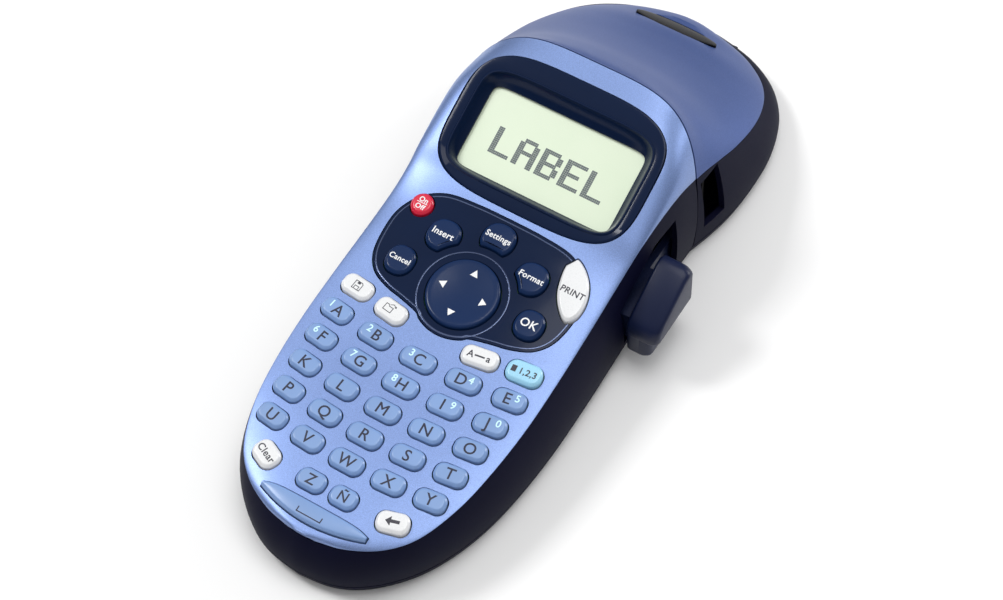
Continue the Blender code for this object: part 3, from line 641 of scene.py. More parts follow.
def front_paths(count):
    foot = resample(catmull(FRONT_FOOT, 10), count)
    table = np.array(PANEL_SECTIONS)
    rim = np.vstack([[0.0, -99.6, 18.0], table[:, [0, 1, 2]]])
    rim = resample(catmull(rim, 10), count)
    rim[:, 0] -= 0.1 * (rim[:, 0] > 1.0)
    return mirrored_path(foot[::-1])[::-1], mirrored_path(rim[::-1])[::-1]


def cover_paths(count):
    foot = resample(catmull(COVER_FOOT, 10), count)
    table = np.array(COVER_SECTIONS)
    rim = np.vstack([table[:, [0, 1, 2]], [0.0, 103.0, 9.0]])
    rim = resample(catmull(rim, 10), count)
    return mirrored_path(foot), mirrored_path(rim)


def wall_band(name, rim, foot, bulge, levels=11):
    rim = np.array(rim)
    foot = np.array(foot)
    tangent = np.gradient(foot, axis=0)
    tangent /= np.linalg.norm(tangent, axis=1)[:, None]
    out = np.stack([tangent[:, 1], -tangent[:, 0]], axis=1)
    sections = []
    for k in range(len(foot)):
        outer = []
        inner = []
        for t in np.linspace(0.0, 1.0, levels):
            xy = foot[k] * (1 - t) + rim[k, :2] * t + out[k] * bulge * 4 * t * (1 - t)
            z = SEAM_Z * (1 - t) + (rim[k, 2] - GAP) * t
            outer.append((xy[0], xy[1], z))
            back = xy - out[k] * WALL
            inner.append((back[0], back[1], z))
        sections.append((outer, inner))
    return strip_loft(name, sections)


# ---- visible skins ------------------------------------------------------------------------
def body_of_node(node):
    for body, members in frame["record"]["behaviour"]["bodies"].items():
        if node in members:
            return body
    raise KeyError(node)


def stand_for(piece, node):
    """Let a piece take the place of one CAD node, on that node's body."""
    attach(piece, body_of_node(node))
    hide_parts(node)


def key_holes(outlines):
    return join_meshes("holes", [prism("hole", grow(outline, KEY_GAP), 8.0, 45.0)
                                 for outline in outlines.values()])


def build_panel(mats, outlines):
    panel = shell_from_sections("panel_skin", PANEL_SECTIONS, 7)
    bezel = [bezel_point(x, y, 0.0) for x, y in superellipse(*BEZEL_HALF, 3.8, 120)]
    tools = [prism("bezel_hole", grow([(x, y) for x, y, _ in bezel], GAP), 20.0, 60.0),
             prism("nav_hole", grow(nav_outline(), GAP / 2), 15.0, 45.0)]
    cut(panel, tools + [key_holes(outlines)])
    stand_for(finish_mesh(panel, mats["blue"]), "front_panel")


def build_nav(mats, outlines):
    nav = shell_from_sections("nav_skin", PANEL_SECTIONS, 7)
    cut(nav, [prism("limit", grow(nav_outline(), -GAP / 2), 15.0, 45.0)], "INTERSECT")
    cut(nav, [key_holes(outlines)])
    stand_for(finish_mesh(nav, mats["gloss"]), "nav_panel")


def bezel_loop(half, more, power, shift, depth):
    ring = superellipse(half[0] + more, half[1] + more, power, 120, (0.0, shift))
    return [bezel_point(x, y, depth) for x, y in ring]


def build_display(mats):
    outer = bezel_loop(BEZEL_HALF, 0.0, 3.8, 0.0, -0.1)
    loops = [
        [(x, y, z - 0.35) for x, y, z in outer],
        bezel_loop(BEZEL_HALF, -0.12, 3.8, 0.0, 0.02),
        bezel_loop(BEZEL_HALF, -0.5, 3.8, 0.0, -0.1),
        bezel_loop(RIDGE_HALF, 0.75, 6.0, -1.0, 0.22),
        bezel_loop(RIDGE_HALF, 0.45, 6.0, -1.0, -0.05),
        bezel_loop(RIDGE_HALF, 0.15, 6.0, -1.0, -0.05),
        bezel_loop(RIDGE_HALF, -0.15, 6.3, -1.0, 0.3),
        bezel_loop(RIDGE_HALF, -0.5, 6.5, -1.0, 0.9),
        bezel_loop(WINDOW_HALF, 1.0, 9.0, -1.8, 2.4),
        bezel_loop(WINDOW_HALF, 0.3, 12.0, -2.1, 3.1),
        bezel_loop(WINDOW_HALF, 0.0, 14.0, WINDOW_SHIFT, WINDOW_DEPTH - 0.6),
        bezel_loop(WINDOW_HALF, 0.0, 14.0, WINDOW_SHIFT, WINDOW_DEPTH),
        bezel_loop(WINDOW_HALF, 1.9, 9.0, -1.8, WINDOW_DEPTH),
        bezel_loop(RIDGE_HALF, 0.9, 6.0, -1.0, 1.7),
        [(x, y, z - 1.5) for x, y, z in outer],
    ]
    bezel = loft("bezel_skin", loops, ring=True)
    stand_for(finish_mesh(bezel, mats["gloss"], 28.0), "lcd_bezel")


# ---- walls and the tape cover -------------------------------------------------------------
def solid_under(name, sections, steps):
    """The space under a bowed skin, down to the ground."""
    strips = []
    for values in catmull(sections, steps):
        top = bowed_section(values, ACROSS)
        strips.append((top, [(x, y, 0.0) for x, y, _ in top]))
    return strip_loft(name, strips)


def dish_point(x, y, depth):
    tilt = math.radians(DISH_TILT)
    height = float(np.interp(DISH_CENTRE[1], [s[3] for s in COVER_SECTIONS],
                             [s[4] for s in COVER_SECTIONS]))
    return (DISH_CENTRE[0] + x,
            DISH_CENTRE[1] + y * math.cos(tilt) + depth * math.sin(tilt),
            height + y * math.sin(tilt) - depth * math.cos(tilt))


def dish_loop(half_x, half_y, depth, shift=0.0, count=96):
    ring = superellipse(half_x, half_y, 2.0, count, (0.0, shift))
    return [dish_point(x, y, depth) for x, y in ring]


def build_cover(mats):
    """The blue dome with its oval scoop, and the dark window on the scoop's floor."""
    wide, tall = DISH_HALF
    cover = shell_from_sections("cover_skin", COVER_SECTIONS, 9)
    boss = loft("boss", [dish_loop(wide + 1.6, tall + 1.6, -6.0),
                         dish_loop(wide + 0.4, tall + 0.4, 5.6)])
    cut(boss, [solid_under("dome", COVER_SECTIONS, 9)], "INTERSECT")
    cut(cover, [boss], "UNION")
    inner = (wide - 2.2, tall - 1.2)
    pocket = [dish_loop(wide + 1.2, tall + 1.2, -8.0), dish_loop(wide + 0.25, tall + 0.25, 0.0),
              dish_loop(wide - 0.1, tall - 0.05, 0.1),
              dish_loop(inner[0] + 0.3, inner[1] + 0.2, 0.3, -0.8),
              dish_loop(*inner, 0.4, -0.9), dish_loop(*inner, 9.0, -0.9)]
    cut(cover, [loft("pocket", pocket)])
    # The dome takes the darker copy of the blue paint, which is painted shade.
    stand_for(finish_mesh(cover, mats["dome"]), "tape_cover")
    floor_loops = [dish_loop(inner[0] - 0.1, inner[1] - 0.1, 5.0, -0.9),
                   dish_loop(inner[0] - 0.1, inner[1] - 0.1, 0.5, -0.9),
                   dish_loop(inner[0] - 1.0, inner[1] - 0.8, 0.4, -0.9)]
    window = loft("window_floor", floor_loops)
    stand_for(finish_mesh(window, mats["window"]), "tape_window")


def hinge_lug(name, x, arc, arm_z):
    outline = [(HINGE_Y - 2.9, arm_z[0])]
    for k in range(31):
        a = math.radians(arc[0] + (arc[1] - arc[0]) * k / 30)
        outline.append((HINGE_Y + HINGE_R * math.cos(a), HINGE_Z + HINGE_R * math.sin(a)))
    outline += [(outline[-1][0] - 0.3, arm_z[1]), (HINGE_Y - 2.9, arm_z[1])]
    return loft(name, [[(level, y, z) for y, z in outline] for level in x])


def build_skirt(mats):
    foot, rim = cover_paths(61)
    skirt = wall_band("skirt_skin", rim, foot, 1.1)
    tools = [box("tape_slot", (34.0, 45.0), SLOT_Y, SLOT_Z),
             box("hinge_notch", (-BARREL_HALF - GAP, BARREL_HALF + GAP),
                 (HINGE_Y - 4.3, 112.0), (3.0, HINGE_Z + 2.1))]
    cut(skirt, tools)
    for side in (1, -1):
        x = sorted((side * (BARREL_HALF + 0.4), side * BARREL_END))
        cut(skirt, [hinge_lug("cover_lug", x, (131.0, 450.0), (SEAM_Z + 0.2, 6.0))], "UNION")
    stand_for(finish_mesh(skirt, mats["navy"]), "cover_skirt")
    throat = box("throat", (32.6, 33.8), (SLOT_Y[0] + 0.4, SLOT_Y[1] - 0.4),
                 (SLOT_Z[0] + 0.4, SLOT_Z[1] - 0.4))
    bar_y = SLOT_Y[0] + 4.6
    cut(throat, [box("bar", (33.6, 34.9), (bar_y, bar_y + 0.8),
                     (SLOT_Z[0] + 0.5, SLOT_Z[1] - 0.5))], "UNION")
    throat.name = "slot_throat"
    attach(finish_mesh(throat, mats["black"]), "cover")


def build_mid_frame(mats):
    foot, rim = front_paths(81)
    walls = wall_band("frame_skin", rim, foot, 1.2)
    side = ((-1.4, 6.2), (27.0, 6.2), (27.0, 29.0), (17.4, 29.0), (-1.4, 20.4))
    cut(walls, [loft("opening", [[(x, y, z) for y, z in side] for x in (30.0, 45.0)])])
    cut(walls, [box("bulkhead", (-36.0, 30.6), (34.8, 36.2), (4.9, 33.5))], "UNION")
    stand_for(finish_mesh(walls, mats["navy"]), "mid_frame")


def build_base(mats):
    """The tray: rounded foot, battery box and the middle hinge barrel."""
    outline = front_paths(81)[0] + cover_paths(61)[0]
    levels = [(1.6 - 1.6 * math.cos(a), -3.8 + 3.0 * math.sin(a))
              for a in np.linspace(0.0, math.pi / 2, 7)]
    levels += [(SEAM_Z - GAP - 0.3, -0.1), (SEAM_Z - GAP, -0.35)]
    loops = [[(x, y, z) for x, y in grow(outline, inset)] for z, inset in levels]
    for z, inset in ((SEAM_Z - GAP, -0.1 - WALL), (FLOOR, -3.6)):
        loops.append([(x, y, z) for x, y in grow(outline, inset)])
    base = loft("base_skin", loops)
    notches = [box("notch", sorted((side * (BARREL_HALF + 0.1), side * (BARREL_END + 0.3))),
                   (HINGE_Y - 2.0, 112.0), (1.4, 8.0)) for side in (1, -1)]
    opening = box("battery_opening", (-DOOR_X - 0.4, DOOR_X + 0.4),
                  (DOOR_Y[0] - 0.4, DOOR_Y[1] + 0.6), (-1.0, 3.0))
    cut(base, [opening] + notches)
    wall_y = (CELL_Y[0] - 1.0, CELL_Y[1] + 1.0)
    low, high = FLOOR - 0.5, 13.0
    for x, y in (((29.7, 30.9), (wall_y[0] - 1.2, wall_y[1] + 1.2)),
                 ((-30.9, -29.7), (wall_y[0] - 1.2, wall_y[1] + 1.2)),
                 ((-30.3, 30.3), (wall_y[0] - 1.2, wall_y[0])),
                 ((-30.3, 30.3), (wall_y[1], wall_y[1] + 1.2))):
        cut(base, [box("wall", x, y, (low, high))], "UNION")
    middle = (-BARREL_HALF, BARREL_HALF)
    cut(base, [hinge_lug("middle_lug", middle, (241.0, 525.0), (2.2, 4.0))], "UNION")
    wells = [ring_prism("well", spot, 2.9, (-1.0, 0.9)) for spot in SCREWS]
    cut(base, [join_meshes("wells", wells)])
    stand_for(finish_mesh(base, mats["navy"]), "base_shell")
    heads = []
    for spot in SCREWS:
        head = ring_prism("head", spot, 2.4, (0.35, 1.2))
        slots = [box("slot", (spot[0] - a, spot[0] + a), (spot[1] - b, spot[1] + b), (0.0, 0.8))
                 for a, b in ((1.4, 0.3), (0.3, 1.4))]
        heads.append(cut(head, slots))
    screws = join_meshes("base_screws", heads)
    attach(finish_mesh(screws, mats["steel"]), "casing")


def ring_prism(name, spot, radius, z):
    return prism(name, superellipse(radius, radius, 2.0, 36, spot), *z)


def build_door(mats):
    """The battery door with its thumb recess and a row of grip ribs."""
    door = box("door_skin", (-DOOR_X, DOOR_X), DOOR_Y, DOOR_Z)
    cut(door, [box("thumb", (-6.0, 6.0), (DOOR_Y[0] + 2.0, DOOR_Y[0] + 5.0), (-1.0, 0.8))])
    grooves = [box("groove", (-14.0, 14.0), (y, y + 0.7), (0.0, 0.65))
               for y in np.arange(DOOR_Y[0] + 9.0, DOOR_Y[0] + 22.0, 2.2)]
    cut(door, [join_meshes("grooves", grooves)])
    bevel = door.modifiers.new("edge", "BEVEL")
    bevel.width = 0.12 * MM
    bevel.segments = 2
    bevel.limit_method = "ANGLE"
    settle(door)
    stand_for(finish_mesh(door, mats["navy"]), "battery_door")


def rounded_slab(name, side, reach):
    """A block with a side outline in y and z, its edges rounded."""
    middle = (sum(y for y, _ in side) / len(side), sum(z for _, z in side) / len(side))

    def level(x, shrink):
        return [(x, middle[0] + (y - middle[0]) * shrink, middle[1] + (z - middle[1]) * shrink)
                for y, z in side]

    slab = loft(name, [level(38.6, 1.0), level(reach - 2.2, 1.0), level(reach, 0.9)])
    soften = slab.modifiers.new("round", "BEVEL")
    soften.width = 1.6 * MM
    soften.segments = 6
    soften.limit_method = "ANGLE"
    soften.angle_limit = math.radians(20.0)
    settle(slab)
    return slab


def build_lever(mats):
    """The cutter lever: a pad that overhangs its post, with the neck and arm inside."""
    lever = rounded_slab("lever_skin", ((-2.4, 13.0), (17.6, 13.4), (17.8, 26.4), (15.6, 28.0),
                                        (12.6, 27.4), (0.2, 20.6), (-1.8, 18.6), (-2.6, 16.4)),
                         48.4)
    post = rounded_slab("post", ((-2.2, 5.6), (17.2, 5.7), (17.3, 20.0), (-2.3, 15.4)), 46.0)
    cut(lever, [post], "UNION")
    for x, y, z in (((33.0, 40.0), (0.2, 16.8), (8.0, 18.0)),
                    ((32.7, 34.7), (0.2, 33.0), (8.0, 17.0))):
        cut(lever, [box("neck", x, y, z)], "UNION")
    stand_for(finish_mesh(lever, mats["lever"]), "cutter_lever")


# ---- keys ---------------------------------------------------------------------------------
def key_plane(outline):
    """Centre of a key and the height of the panel's plane under it."""
    pts = np.array(outline)
    cx, cy = pts.mean(axis=0)
    base = top_height(cx, cy)
    slope = (top_height(cx, cy + 2.0) - top_height(cx, cy - 2.0)) / 4.0
    return cx, cy, lambda x, y: base + slope * (y - cy)


KEY_PROFILE = ((0.0, -KEY_DEPTH), (0.0, KEY_RISE - 0.80), (0.05, KEY_RISE - 0.66),
               (0.16, KEY_RISE - 0.54), (0.56, KEY_RISE - 0.16), (0.70, KEY_RISE - 0.06),
               (0.86, KEY_RISE - 0.01), (1.05, KEY_RISE))


def build_key(node, outline, mat):
    cx, cy, plane = key_plane(outline)
    loops = []
    for inset, height in KEY_PROFILE:
        if node == "key_print":
            ring = [(x + (cx - x) * inset / math.hypot(x - cx, y - cy),
                     y + (cy - y) * inset / math.hypot(x - cx, y - cy)) for x, y in outline]
        else:
            ring = grow(outline, -inset) if inset else outline
        loops.append([(x, y, plane(x, y) + height) for x, y in ring])
    stand_for(finish_mesh(loft(node + "_cap", loops), mat, 50.0), node)


def build_space_bar(mats):
    sections = []
    profile = ((0.0, 0.5), (0.06, 0.64), (0.45, 1.14), (0.6, 1.24), (0.8, KEY_RISE))
    for x in np.linspace(-SPACE_HALF, SPACE_HALF, 49):
        far, near = space_edges(x)
        squeeze = min(1.0, 0.4 * (far - near) / 0.8)
        tops = [(far - inset * squeeze, height) for inset, height in profile]
        tops += [(near + inset * squeeze, height) for inset, height in profile[::-1]]
        top = [(x, y, top_height(x, y) + height) for y, height in tops]
        sections.append((top, [(x, y, top_height(x, y) - SPACE_DEPTH) for _, y, _ in top]))
    stand_for(finish_mesh(strip_loft("space_cap", sections), mats["key"], 40.0), "key_space")


def disc_height(y):
    cx, cy = DISC_CENTRE
    slope = (top_height(cx, cy + 4.0) - top_height(cx, cy - 4.0)) / 8.0
    return top_height(cx, cy) + slope * (y - cy)


def face_height(t):
    """Height of the disc's dished face, from its rim (0) to its centre (1)."""
    return FACE_TOP - FACE_DISH * math.sin(t * math.pi / 2)


def build_disc(mats):
    """The arrow disc: rounded rim and a shallow dished face."""
    rings = [(DISC_R, -1.8), (DISC_R, 0.3), (DISC_R - 0.08, 0.56), (DISC_R - 0.28, 0.82),
             (DISC_R - 0.55, 0.98), (DISC_R - FACE_RIM, FACE_TOP)]
    for t in np.linspace(0.12, 0.97, 12):
        rings.append(((DISC_R - FACE_RIM) * (1 - t), face_height(t)))
    loops = [[(x, y, disc_height(y) + height)
              for x, y in superellipse(radius, radius, 2.0, 96, DISC_CENTRE)]
             for radius, height in rings]
    stand_for(finish_mesh(loft("disc_cap", loops), mats["disc"], 50.0), "nav_disc")


def bead(name, outline, inset, width, rise, mat, gaps=()):
    """A fine raised line on the panel, at an inset from an outline, broken at the gaps."""
    profile = ((0.0, -0.15), (0.12, rise * 0.8), (0.5, rise), (0.88, rise * 0.8), (1.0, -0.15))
    loops = [[(x, y, top_height(x, y) + height)
              for x, y in grow(outline, -inset - width * t)] for t, height in profile]
    line = loft(name, loops, ring=True)
    cut(line, [prism("gap", gap, 15.0, 45.0) for gap in gaps])
    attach(finish_mesh(line, mat), "casing")


# ---- lettering ----------------------------------------------------------------------------
def words_mesh(words, size):
    """Plain sans lettering in millimetres, centred on the origin, as a thin closed plate."""
    curve = bpy.data.curves.new("lettering", "FONT")
    curve.body = words
    curve.size = size
    curve.align_x = "CENTER"
    curve.extrude = INK_THICK / 2
    curve.space_character = 1.06
    curve.bevel_depth = INK_WEIGHT
    curve.bevel_resolution = 0
    curve.resolution_u = 4
    obj = put("lettering", curve)
    bpy.context.view_layer.update()
    graph = bpy.context.evaluated_depsgraph_get()
    mesh = bpy.data.meshes.new_from_object(obj.evaluated_get(graph))
    bpy.data.objects.remove(obj, do_unlink=True)
    bpy.data.curves.remove(curve)
    points = np.array([v.co for v in mesh.vertices])
    points[:, 1] -= CAP_HEIGHT * size
    points[:, 2] = np.clip(points[:, 2], -INK_THICK / 2, INK_THICK / 2)
    faces = [tuple(face.vertices) for face in mesh.polygons]
    bpy.data.meshes.remove(mesh)
    return points, faces


def plate(outline):
    """A flat shape as a thin closed plate."""
    count = len(outline)
    points = [(x, y, -INK_THICK / 2) for x, y in outline]
    points += [(x, y, INK_THICK / 2) for x, y in outline]
    faces = [tuple(range(count))[::-1], tuple(range(count, 2 * count))]
    faces += [(i, (i + 1) % count, count + (i + 1) % count, count + i) for i in range(count)]
    return np.array(points, dtype=float), faces


def stroke(points, width):
    """A line of plates that follow a path."""
    parts = []
    for (ax, ay), (bx, by) in zip(points[:-1], points[1:]):
        run = math.hypot(bx - ax, by - ay)
        dx, dy = (bx - ax) / run * width / 2, (by - ay) / run * width / 2
        parts.append(plate([(ax - dx + dy, ay - dy - dx), (bx + dx + dy, by + dy - dx),
                            (bx + dx - dy, by + dy + dx), (ax - dx - dy, ay - dy + dx)]))
    return parts


def moved(part, x=0.0, y=0.0, turn=0.0):
    points, faces = part
    px, py = turned(points[:, 0], points[:, 1], turn)
    return np.column_stack([px + x, py + y, points[:, 2]]), faces


def print_on(name, inks, place, body):
    """One piece of lettering: parts of several inks set down on a surface."""
    bm = bmesh.new()
    for index, (_, parts) in enumerate(inks):
        for points, faces in parts:
            verts = [bm.verts.new(Vector(place(*p)) * MM) for p in points]
            for face in faces:
                made = bm.faces.new([verts[i] for i in face])
                made.material_index = index
    bmesh.ops.remove_doubles(bm, verts=bm.verts, dist=0.0002 * MM)
    bmesh.ops.recalc_face_normals(bm, faces=bm.faces)
    mesh = mesh_from(bm, name)
    for mat, _ in inks:
        mesh.materials.append(mat)
    obj = put(name, mesh)
    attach(obj, body)


def key_print(node, outline, inks, turn):
    cx, cy, plane = key_plane(outline)

    def place(x, y, z):
        dx, dy = turned(x, y, turn)
        return cx + dx, cy + dy, plane(cx + dx, cy + dy) + KEY_RISE + INK_THICK / 2 + z

    print_on(node + "_print", inks, place, body_of_node(node))


DIGITS = {"a": (1, -1), "b": (2, -1), "c": (3, -1), "d": (4, 1), "e": (5, 1),
          "f": (6, -1), "g": (7, -1), "h": (8, -1), "i": (9, 1), "j": (0, 1)}


def letter_inks(mats, letter):
    glyph = words_mesh(letter.upper(), 4.5)
    if letter not in DIGITS:
        return [(mats["ink_navy"], [glyph])]
    digit, side = DIGITS[letter]
    small = words_mesh(str(digit), 2.9)
    return [(mats["ink_navy"], [moved(glyph, x=-0.55 * side)]),
            (mats["ink_cyan"], [moved(small, x=2.15 * side, y=0.75)])]


def floppy():
    parts = stroke([(-1.2, -1.2), (-1.2, 1.2), (0.8, 1.2), (1.2, 0.8), (1.2, -1.2), (-1.2, -1.2)],
                   0.2)
    parts += stroke([(-0.6, -1.2), (-0.6, -0.2), (0.6, -0.2), (0.6, -1.2)], 0.18)
    parts.append(plate([(-0.5, 0.5), (0.4, 0.5), (0.4, 1.1), (-0.5, 1.1)]))
    return parts


def folder():
    parts = stroke([(-1.5, -1.0), (-1.5, 0.9), (-0.6, 0.9), (-0.3, 0.5), (1.0, 0.5), (1.0, -1.0),
                    (-1.5, -1.0)], 0.2)
    parts += stroke([(-0.2, 1.1), (0.5, 1.5), (1.3, 1.2)], 0.18)
    parts.append(plate([(1.0, 0.9), (1.7, 0.9), (1.4, 1.5)]))
    return parts


def arrow_left():
    return [plate([(-2.0, 0.0), (-0.5, -1.3), (-0.5, -0.45), (1.9, -0.45), (1.9, 0.45),
                   (-0.5, 0.45), (-0.5, 1.3)])]


def triangle(size):
    return plate([(-size, -size * 0.8), (size, -size * 0.8), (0.0, size * 0.9)])


LCD_GLYPHS = {
    "L": ("10000", "10000", "10000", "10000", "10000", "10000", "11111"),
    "A": ("01110", "10001", "10001", "11111", "10001", "10001", "10001"),
    "B": ("11110", "10001", "10001", "11110", "10001", "10001", "11110"),
    "E": ("11111", "10000", "10000", "11110", "10000", "10000", "11111"),
}


def bold_dots(letter):
    """The glyph at twice its grid, with every stroke thickened by a dot to the right."""
    dots = set()
    for row, bits in enumerate(LCD_GLYPHS[letter]):
        for column, bit in enumerate(bits):
            if bit == "1":
                dots |= {(2 * column + i, 2 * row + j) for i in (0, 1, 2) for j in (0, 1)}
    return dots


def lcd_print(mats):
    """A sample word on the display, in square picture dots."""
    word = "LABEL"
    dot = 0.56
    advance = 13
    width = (advance * len(word) - 2) * dot
    half = dot * 0.46
    parts = []
    for place, letter in enumerate(word):
        for column, row in sorted(bold_dots(letter)):
            x = -width / 2 + (advance * place + column + 0.5) * dot
            y = (6.5 - row) * dot
            parts.append(plate([(x - half, y - half), (x + half, y - half),
                                (x + half, y + half), (x - half, y + half)]))

    def place_dot(x, y, z):
        return bezel_point(x + 0.4, WINDOW_SHIFT - 1.6 + y, GLASS_TOP - INK_THICK / 2 - z)

    print_on("lcd_word", [(mats["segment"], parts)], place_dot, "casing")


def build_prints(mats, outlines):
    for row, letters in enumerate(LETTER_ROWS):
        for column, letter in enumerate(letters):
            node = "key_" + letter
            key_print(node, outlines[node], letter_inks(mats, letter),
                      letter_spot(row, column)[3])
    dark = mats["ink_black"]
    white = mats["ink_white"]
    navy = mats["ink_navy"]
    signs = {
        "key_save": (dark, floppy(), "key_white"),
        "key_open": (dark, [moved(p, x=-0.6) for p in folder()], "key_white"),
        "key_caps": (dark, [moved(words_mesh("A", 2.7), x=-2.6), moved(words_mesh("a", 2.7), x=2.5)]
                     + stroke([(-1.2, -0.1), (1.2, -0.1)], 0.45), "key_white"),
        "key_number": (dark, [moved(words_mesh("1,2,3", 2.5), x=1.1),
                              plate([(-3.6, -0.9), (-2.2, -0.9), (-2.2, 0.9), (-3.6, 0.9)])],
                       "key_cyan"),
        "key_backspace": (dark, arrow_left(), "key_white"),
        "key_on_off": (white, [moved(words_mesh("On", 2.0), y=1.0),
                               moved(words_mesh("Off", 2.0), y=-1.1)]
                       + stroke([(-1.5, 0.0), (1.5, 0.0)], 0.2), "key_red"),
    }
    for node, words, size, ink, slot in (
            ("key_z", "Z", 4.1, navy, "key_blue"), ("key_n_tilde", "\u00d1", 3.9, navy, "key_blue"),
            ("key_clear", "Clear", 2.7, dark, "key_white"),
            ("key_print", "PRINT", 2.5, dark, "key_white"),
            ("key_insert", "Insert", 2.6, white, "disc_blue"),
            ("key_settings", "Settings", 2.3, white, "disc_blue"),
            ("key_format", "Format", 2.4, white, "disc_blue"),
            ("key_cancel", "Cancel", 2.2, white, "disc_blue"),
            ("key_ok", "OK", 3.3, white, "disc_blue")):
        signs[node] = (ink, [words_mesh(words, size)], slot)
    turns = {node: spec[4] for node, spec in SHAPED_KEYS.items()}
    for node, (ink, parts, slot) in signs.items():
        key_print(node, outlines[node], [(ink, parts)], turns.get(node, 0.0))

    def on_bar(x, y, z):
        py = -94.6 + y
        return x, py, top_height(x, py) + KEY_RISE + INK_THICK / 2 + z

    bracket = stroke([(-3.6, 0.5), (-3.6, -0.7), (3.6, -0.7), (3.6, 0.5)], 0.32)
    print_on("key_space_print", [(navy, bracket)], on_bar,
             body_of_node("key_space"))

    def on_disc(x, y, z):
        px, py = DISC_CENTRE[0] + x, DISC_CENTRE[1] + y
        t = min(1.0, max(0.0, 1.0 - math.hypot(x, y) / (DISC_R - FACE_RIM)))
        return px, py, disc_height(py) + face_height(t) + INK_THICK * 1.5 + z

    arrows = [moved(triangle(1.15), x=6.4 * math.cos(a), y=6.4 * math.sin(a),
                    turn=math.degrees(a) - 90.0) for a in np.radians((0, 90, 180, 270))]
    print_on("disc_arrows", [(white, arrows)], on_disc, "disc")


# ---- pieces that show when the cover or the door is open -------------------------------------
def detail(name, objects, mat, slot, body="casing"):
    piece = join_meshes(name, objects)
    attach(finish_mesh(piece, mat), body)


def build_inner(mats):
    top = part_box("tape_cassette")[1][2] / MM
    reels = [ring_prism("reel", spot, radius, (top - 0.1, top + 0.5))
             for spot, radius in zip(REEL_SPOTS, (9.0, 7.0))]
    hubs = [ring_prism("hub", spot, 2.6, (top + 0.2, top + 1.0)) for spot in REEL_SPOTS]
    detail("cassette_reels", reels, mats["white"], "grey_plastic")
    detail("cassette_hubs", hubs, mats["black"], "grey_plastic")
    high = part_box("platen_roller")[1]
    axle = ring_prism("axle", PLATEN_SPOT, 1.2, (high[2] / MM - 0.2, high[2] / MM + 1.4))
    detail("platen_axle", [axle], mats["steel"], "steel", body_of_node("platen_roller"))
    low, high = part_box("battery_cells")
    span = (high[0] - low[0]) / 4 / MM
    z = (low[2] + high[2]) / 2 / MM
    caps = []
    for place in range(4):
        x = low[0] / MM + span * (place + 0.5)
        for y in (low[1] / MM, high[1] / MM):
            ring = superellipse(6.2, 6.2, 2.0, 48, (x, z))
            caps.append(loft("cap", [[(px, y + d, pz) for px, pz in ring] for d in (-0.3, 0.3)]))
    detail("battery_caps", caps, mats["steel"], "steel")


# ---- run ----------------------------------------------------------------------------------
mats = make_materials()
board_keys, nav_keys, shared_keys = key_outlines()
disc_hole = {"disc": superellipse(DISC_R, DISC_R, 2.0, 96, DISC_CENTRE)}
build_panel(mats, {**board_keys, **shared_keys})
build_nav(mats, {**nav_keys, **shared_keys, **disc_hole})
build_display(mats)
build_cover(mats)
build_skirt(mats)
build_mid_frame(mats)
build_base(mats)
build_door(mats)
build_lever(mats)
build_disc(mats)
shared_holes = [grow(outline, KEY_GAP) for outline in shared_keys.values()]
# Raised beads along the nav panel's edge and round the disc; their lighter colour is a painted
# highlight.
bead("nav_edge_line", nav_outline(), 0.75, 0.42, 0.16, mats["bead_highlight"], shared_holes)
bead("disc_ring_line", superellipse(12.6, 12.6, 2.0, 120, DISC_CENTRE), 0.0, 0.4, 0.16,
     mats["bead_highlight"])

WHITE_KEYS = ("key_save", "key_open", "key_caps", "key_clear", "key_backspace", "key_print")
all_keys = {**board_keys, **nav_keys, **shared_keys}
for node, outline in all_keys.items():
    look = "key"
    if node in WHITE_KEYS:
        look = "white"
    elif node in NAV_KEYS:
        look = "disc"
    elif node == "key_on_off":
        look = "red"
    elif node == "key_number":
        look = "cyan"
    if node == "key_space":
        build_space_bar(mats)
    else:
        build_key(node, outline, mats[look])
build_prints(mats, all_keys)
lcd_print(mats)
build_inner(mats)

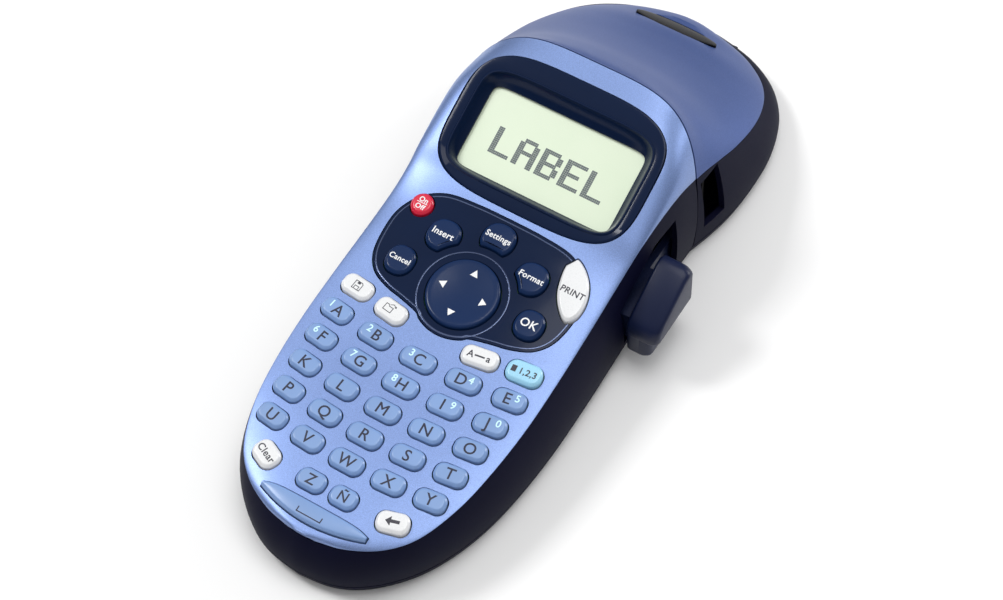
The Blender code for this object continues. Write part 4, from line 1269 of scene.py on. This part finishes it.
CARRIED = {"lcd_panel": "lcd", "circuit_board": "board", "battery_cells": "cell",
           "cutter_blade": "steel", "print_head": "head", "platen_roller": "rubber",
           "tape_cassette": "cassette", "nav_pivot": "cassette"}
for node, look in CARRIED.items():
    frame["nodes"][node].data.materials.clear()
    frame["nodes"][node].data.materials.append(mats[look])

# ---- stage, light and camera --------------------------------------------------------------
floor = mesh_object("floor", [(-3000, -3000, -0.05), (3000, -3000, -0.05), (3000, 3000, -0.05),
                              (-3000, 3000, -0.05)], [(0, 1, 2, 3)])
floor_mat, _, floor_shader = nodes_of("floor_paper")
adjust(floor_shader, {"Base Color": (0.95, 0.95, 0.95, 1.0), "Roughness": 0.9})
floor.data.materials.append(floor_mat)


def area_light(name, place, target, size, watts):
    data = bpy.data.lights.new(name, "AREA")
    data.shape = "RECTANGLE"
    data.size = size[0]
    data.size_y = size[1]
    data.energy = watts
    light = put(name, data)
    light.location = place
    aim = Vector(target) - Vector(place)
    light.rotation_euler = aim.to_track_quat("-Z", "Y").to_euler()


area_light("key_light", (-0.66, -0.14, 0.88), (0.0, 0.0, 0.02), (0.28, 0.28), 5.0)
area_light("top_light", (0.12, 0.16, 1.15), (0.0, 0.0, 0.02), (0.60, 0.60), 4.6)
area_light("edge_light", (0.52, 0.80, 0.32), (0.0, 0.05, 0.03), (0.35, 0.30), 3.4)

world = bpy.data.worlds.new("studio")
world.use_nodes = True
sky = world.node_tree
direction = sky.nodes.new("ShaderNodeTexCoord")
parts = sky.nodes.new("ShaderNodeSeparateXYZ")
sky.links.new(direction.outputs["Generated"], parts.inputs["Vector"])
glow = ramp_between(sky, parts.outputs["Z"], (0.06, 0.06, 0.07), (1.0, 1.0, 1.0), (0.05, 0.75))
sky.links.new(glow, sky.nodes["Background"].inputs["Color"])
sky.nodes["Background"].inputs["Strength"].default_value = 0.55
bpy.context.scene.world = world
bpy.context.scene.view_settings.view_transform = "Standard"

# Place, angles and lens come from fitting a camera to the key grid and display in the photo.
camera_data = bpy.data.cameras.new("camera")
camera_data.lens = 93.32
camera_data.sensor_width = 36.0
camera_data.clip_start = 0.01
camera = put("camera", camera_data)
camera.location = (0.22396, -0.32700, 0.60117)
camera.rotation_euler = Euler([math.radians(a) for a in (33.216, 1.757, 32.043)])
bpy.context.scene.camera = camera
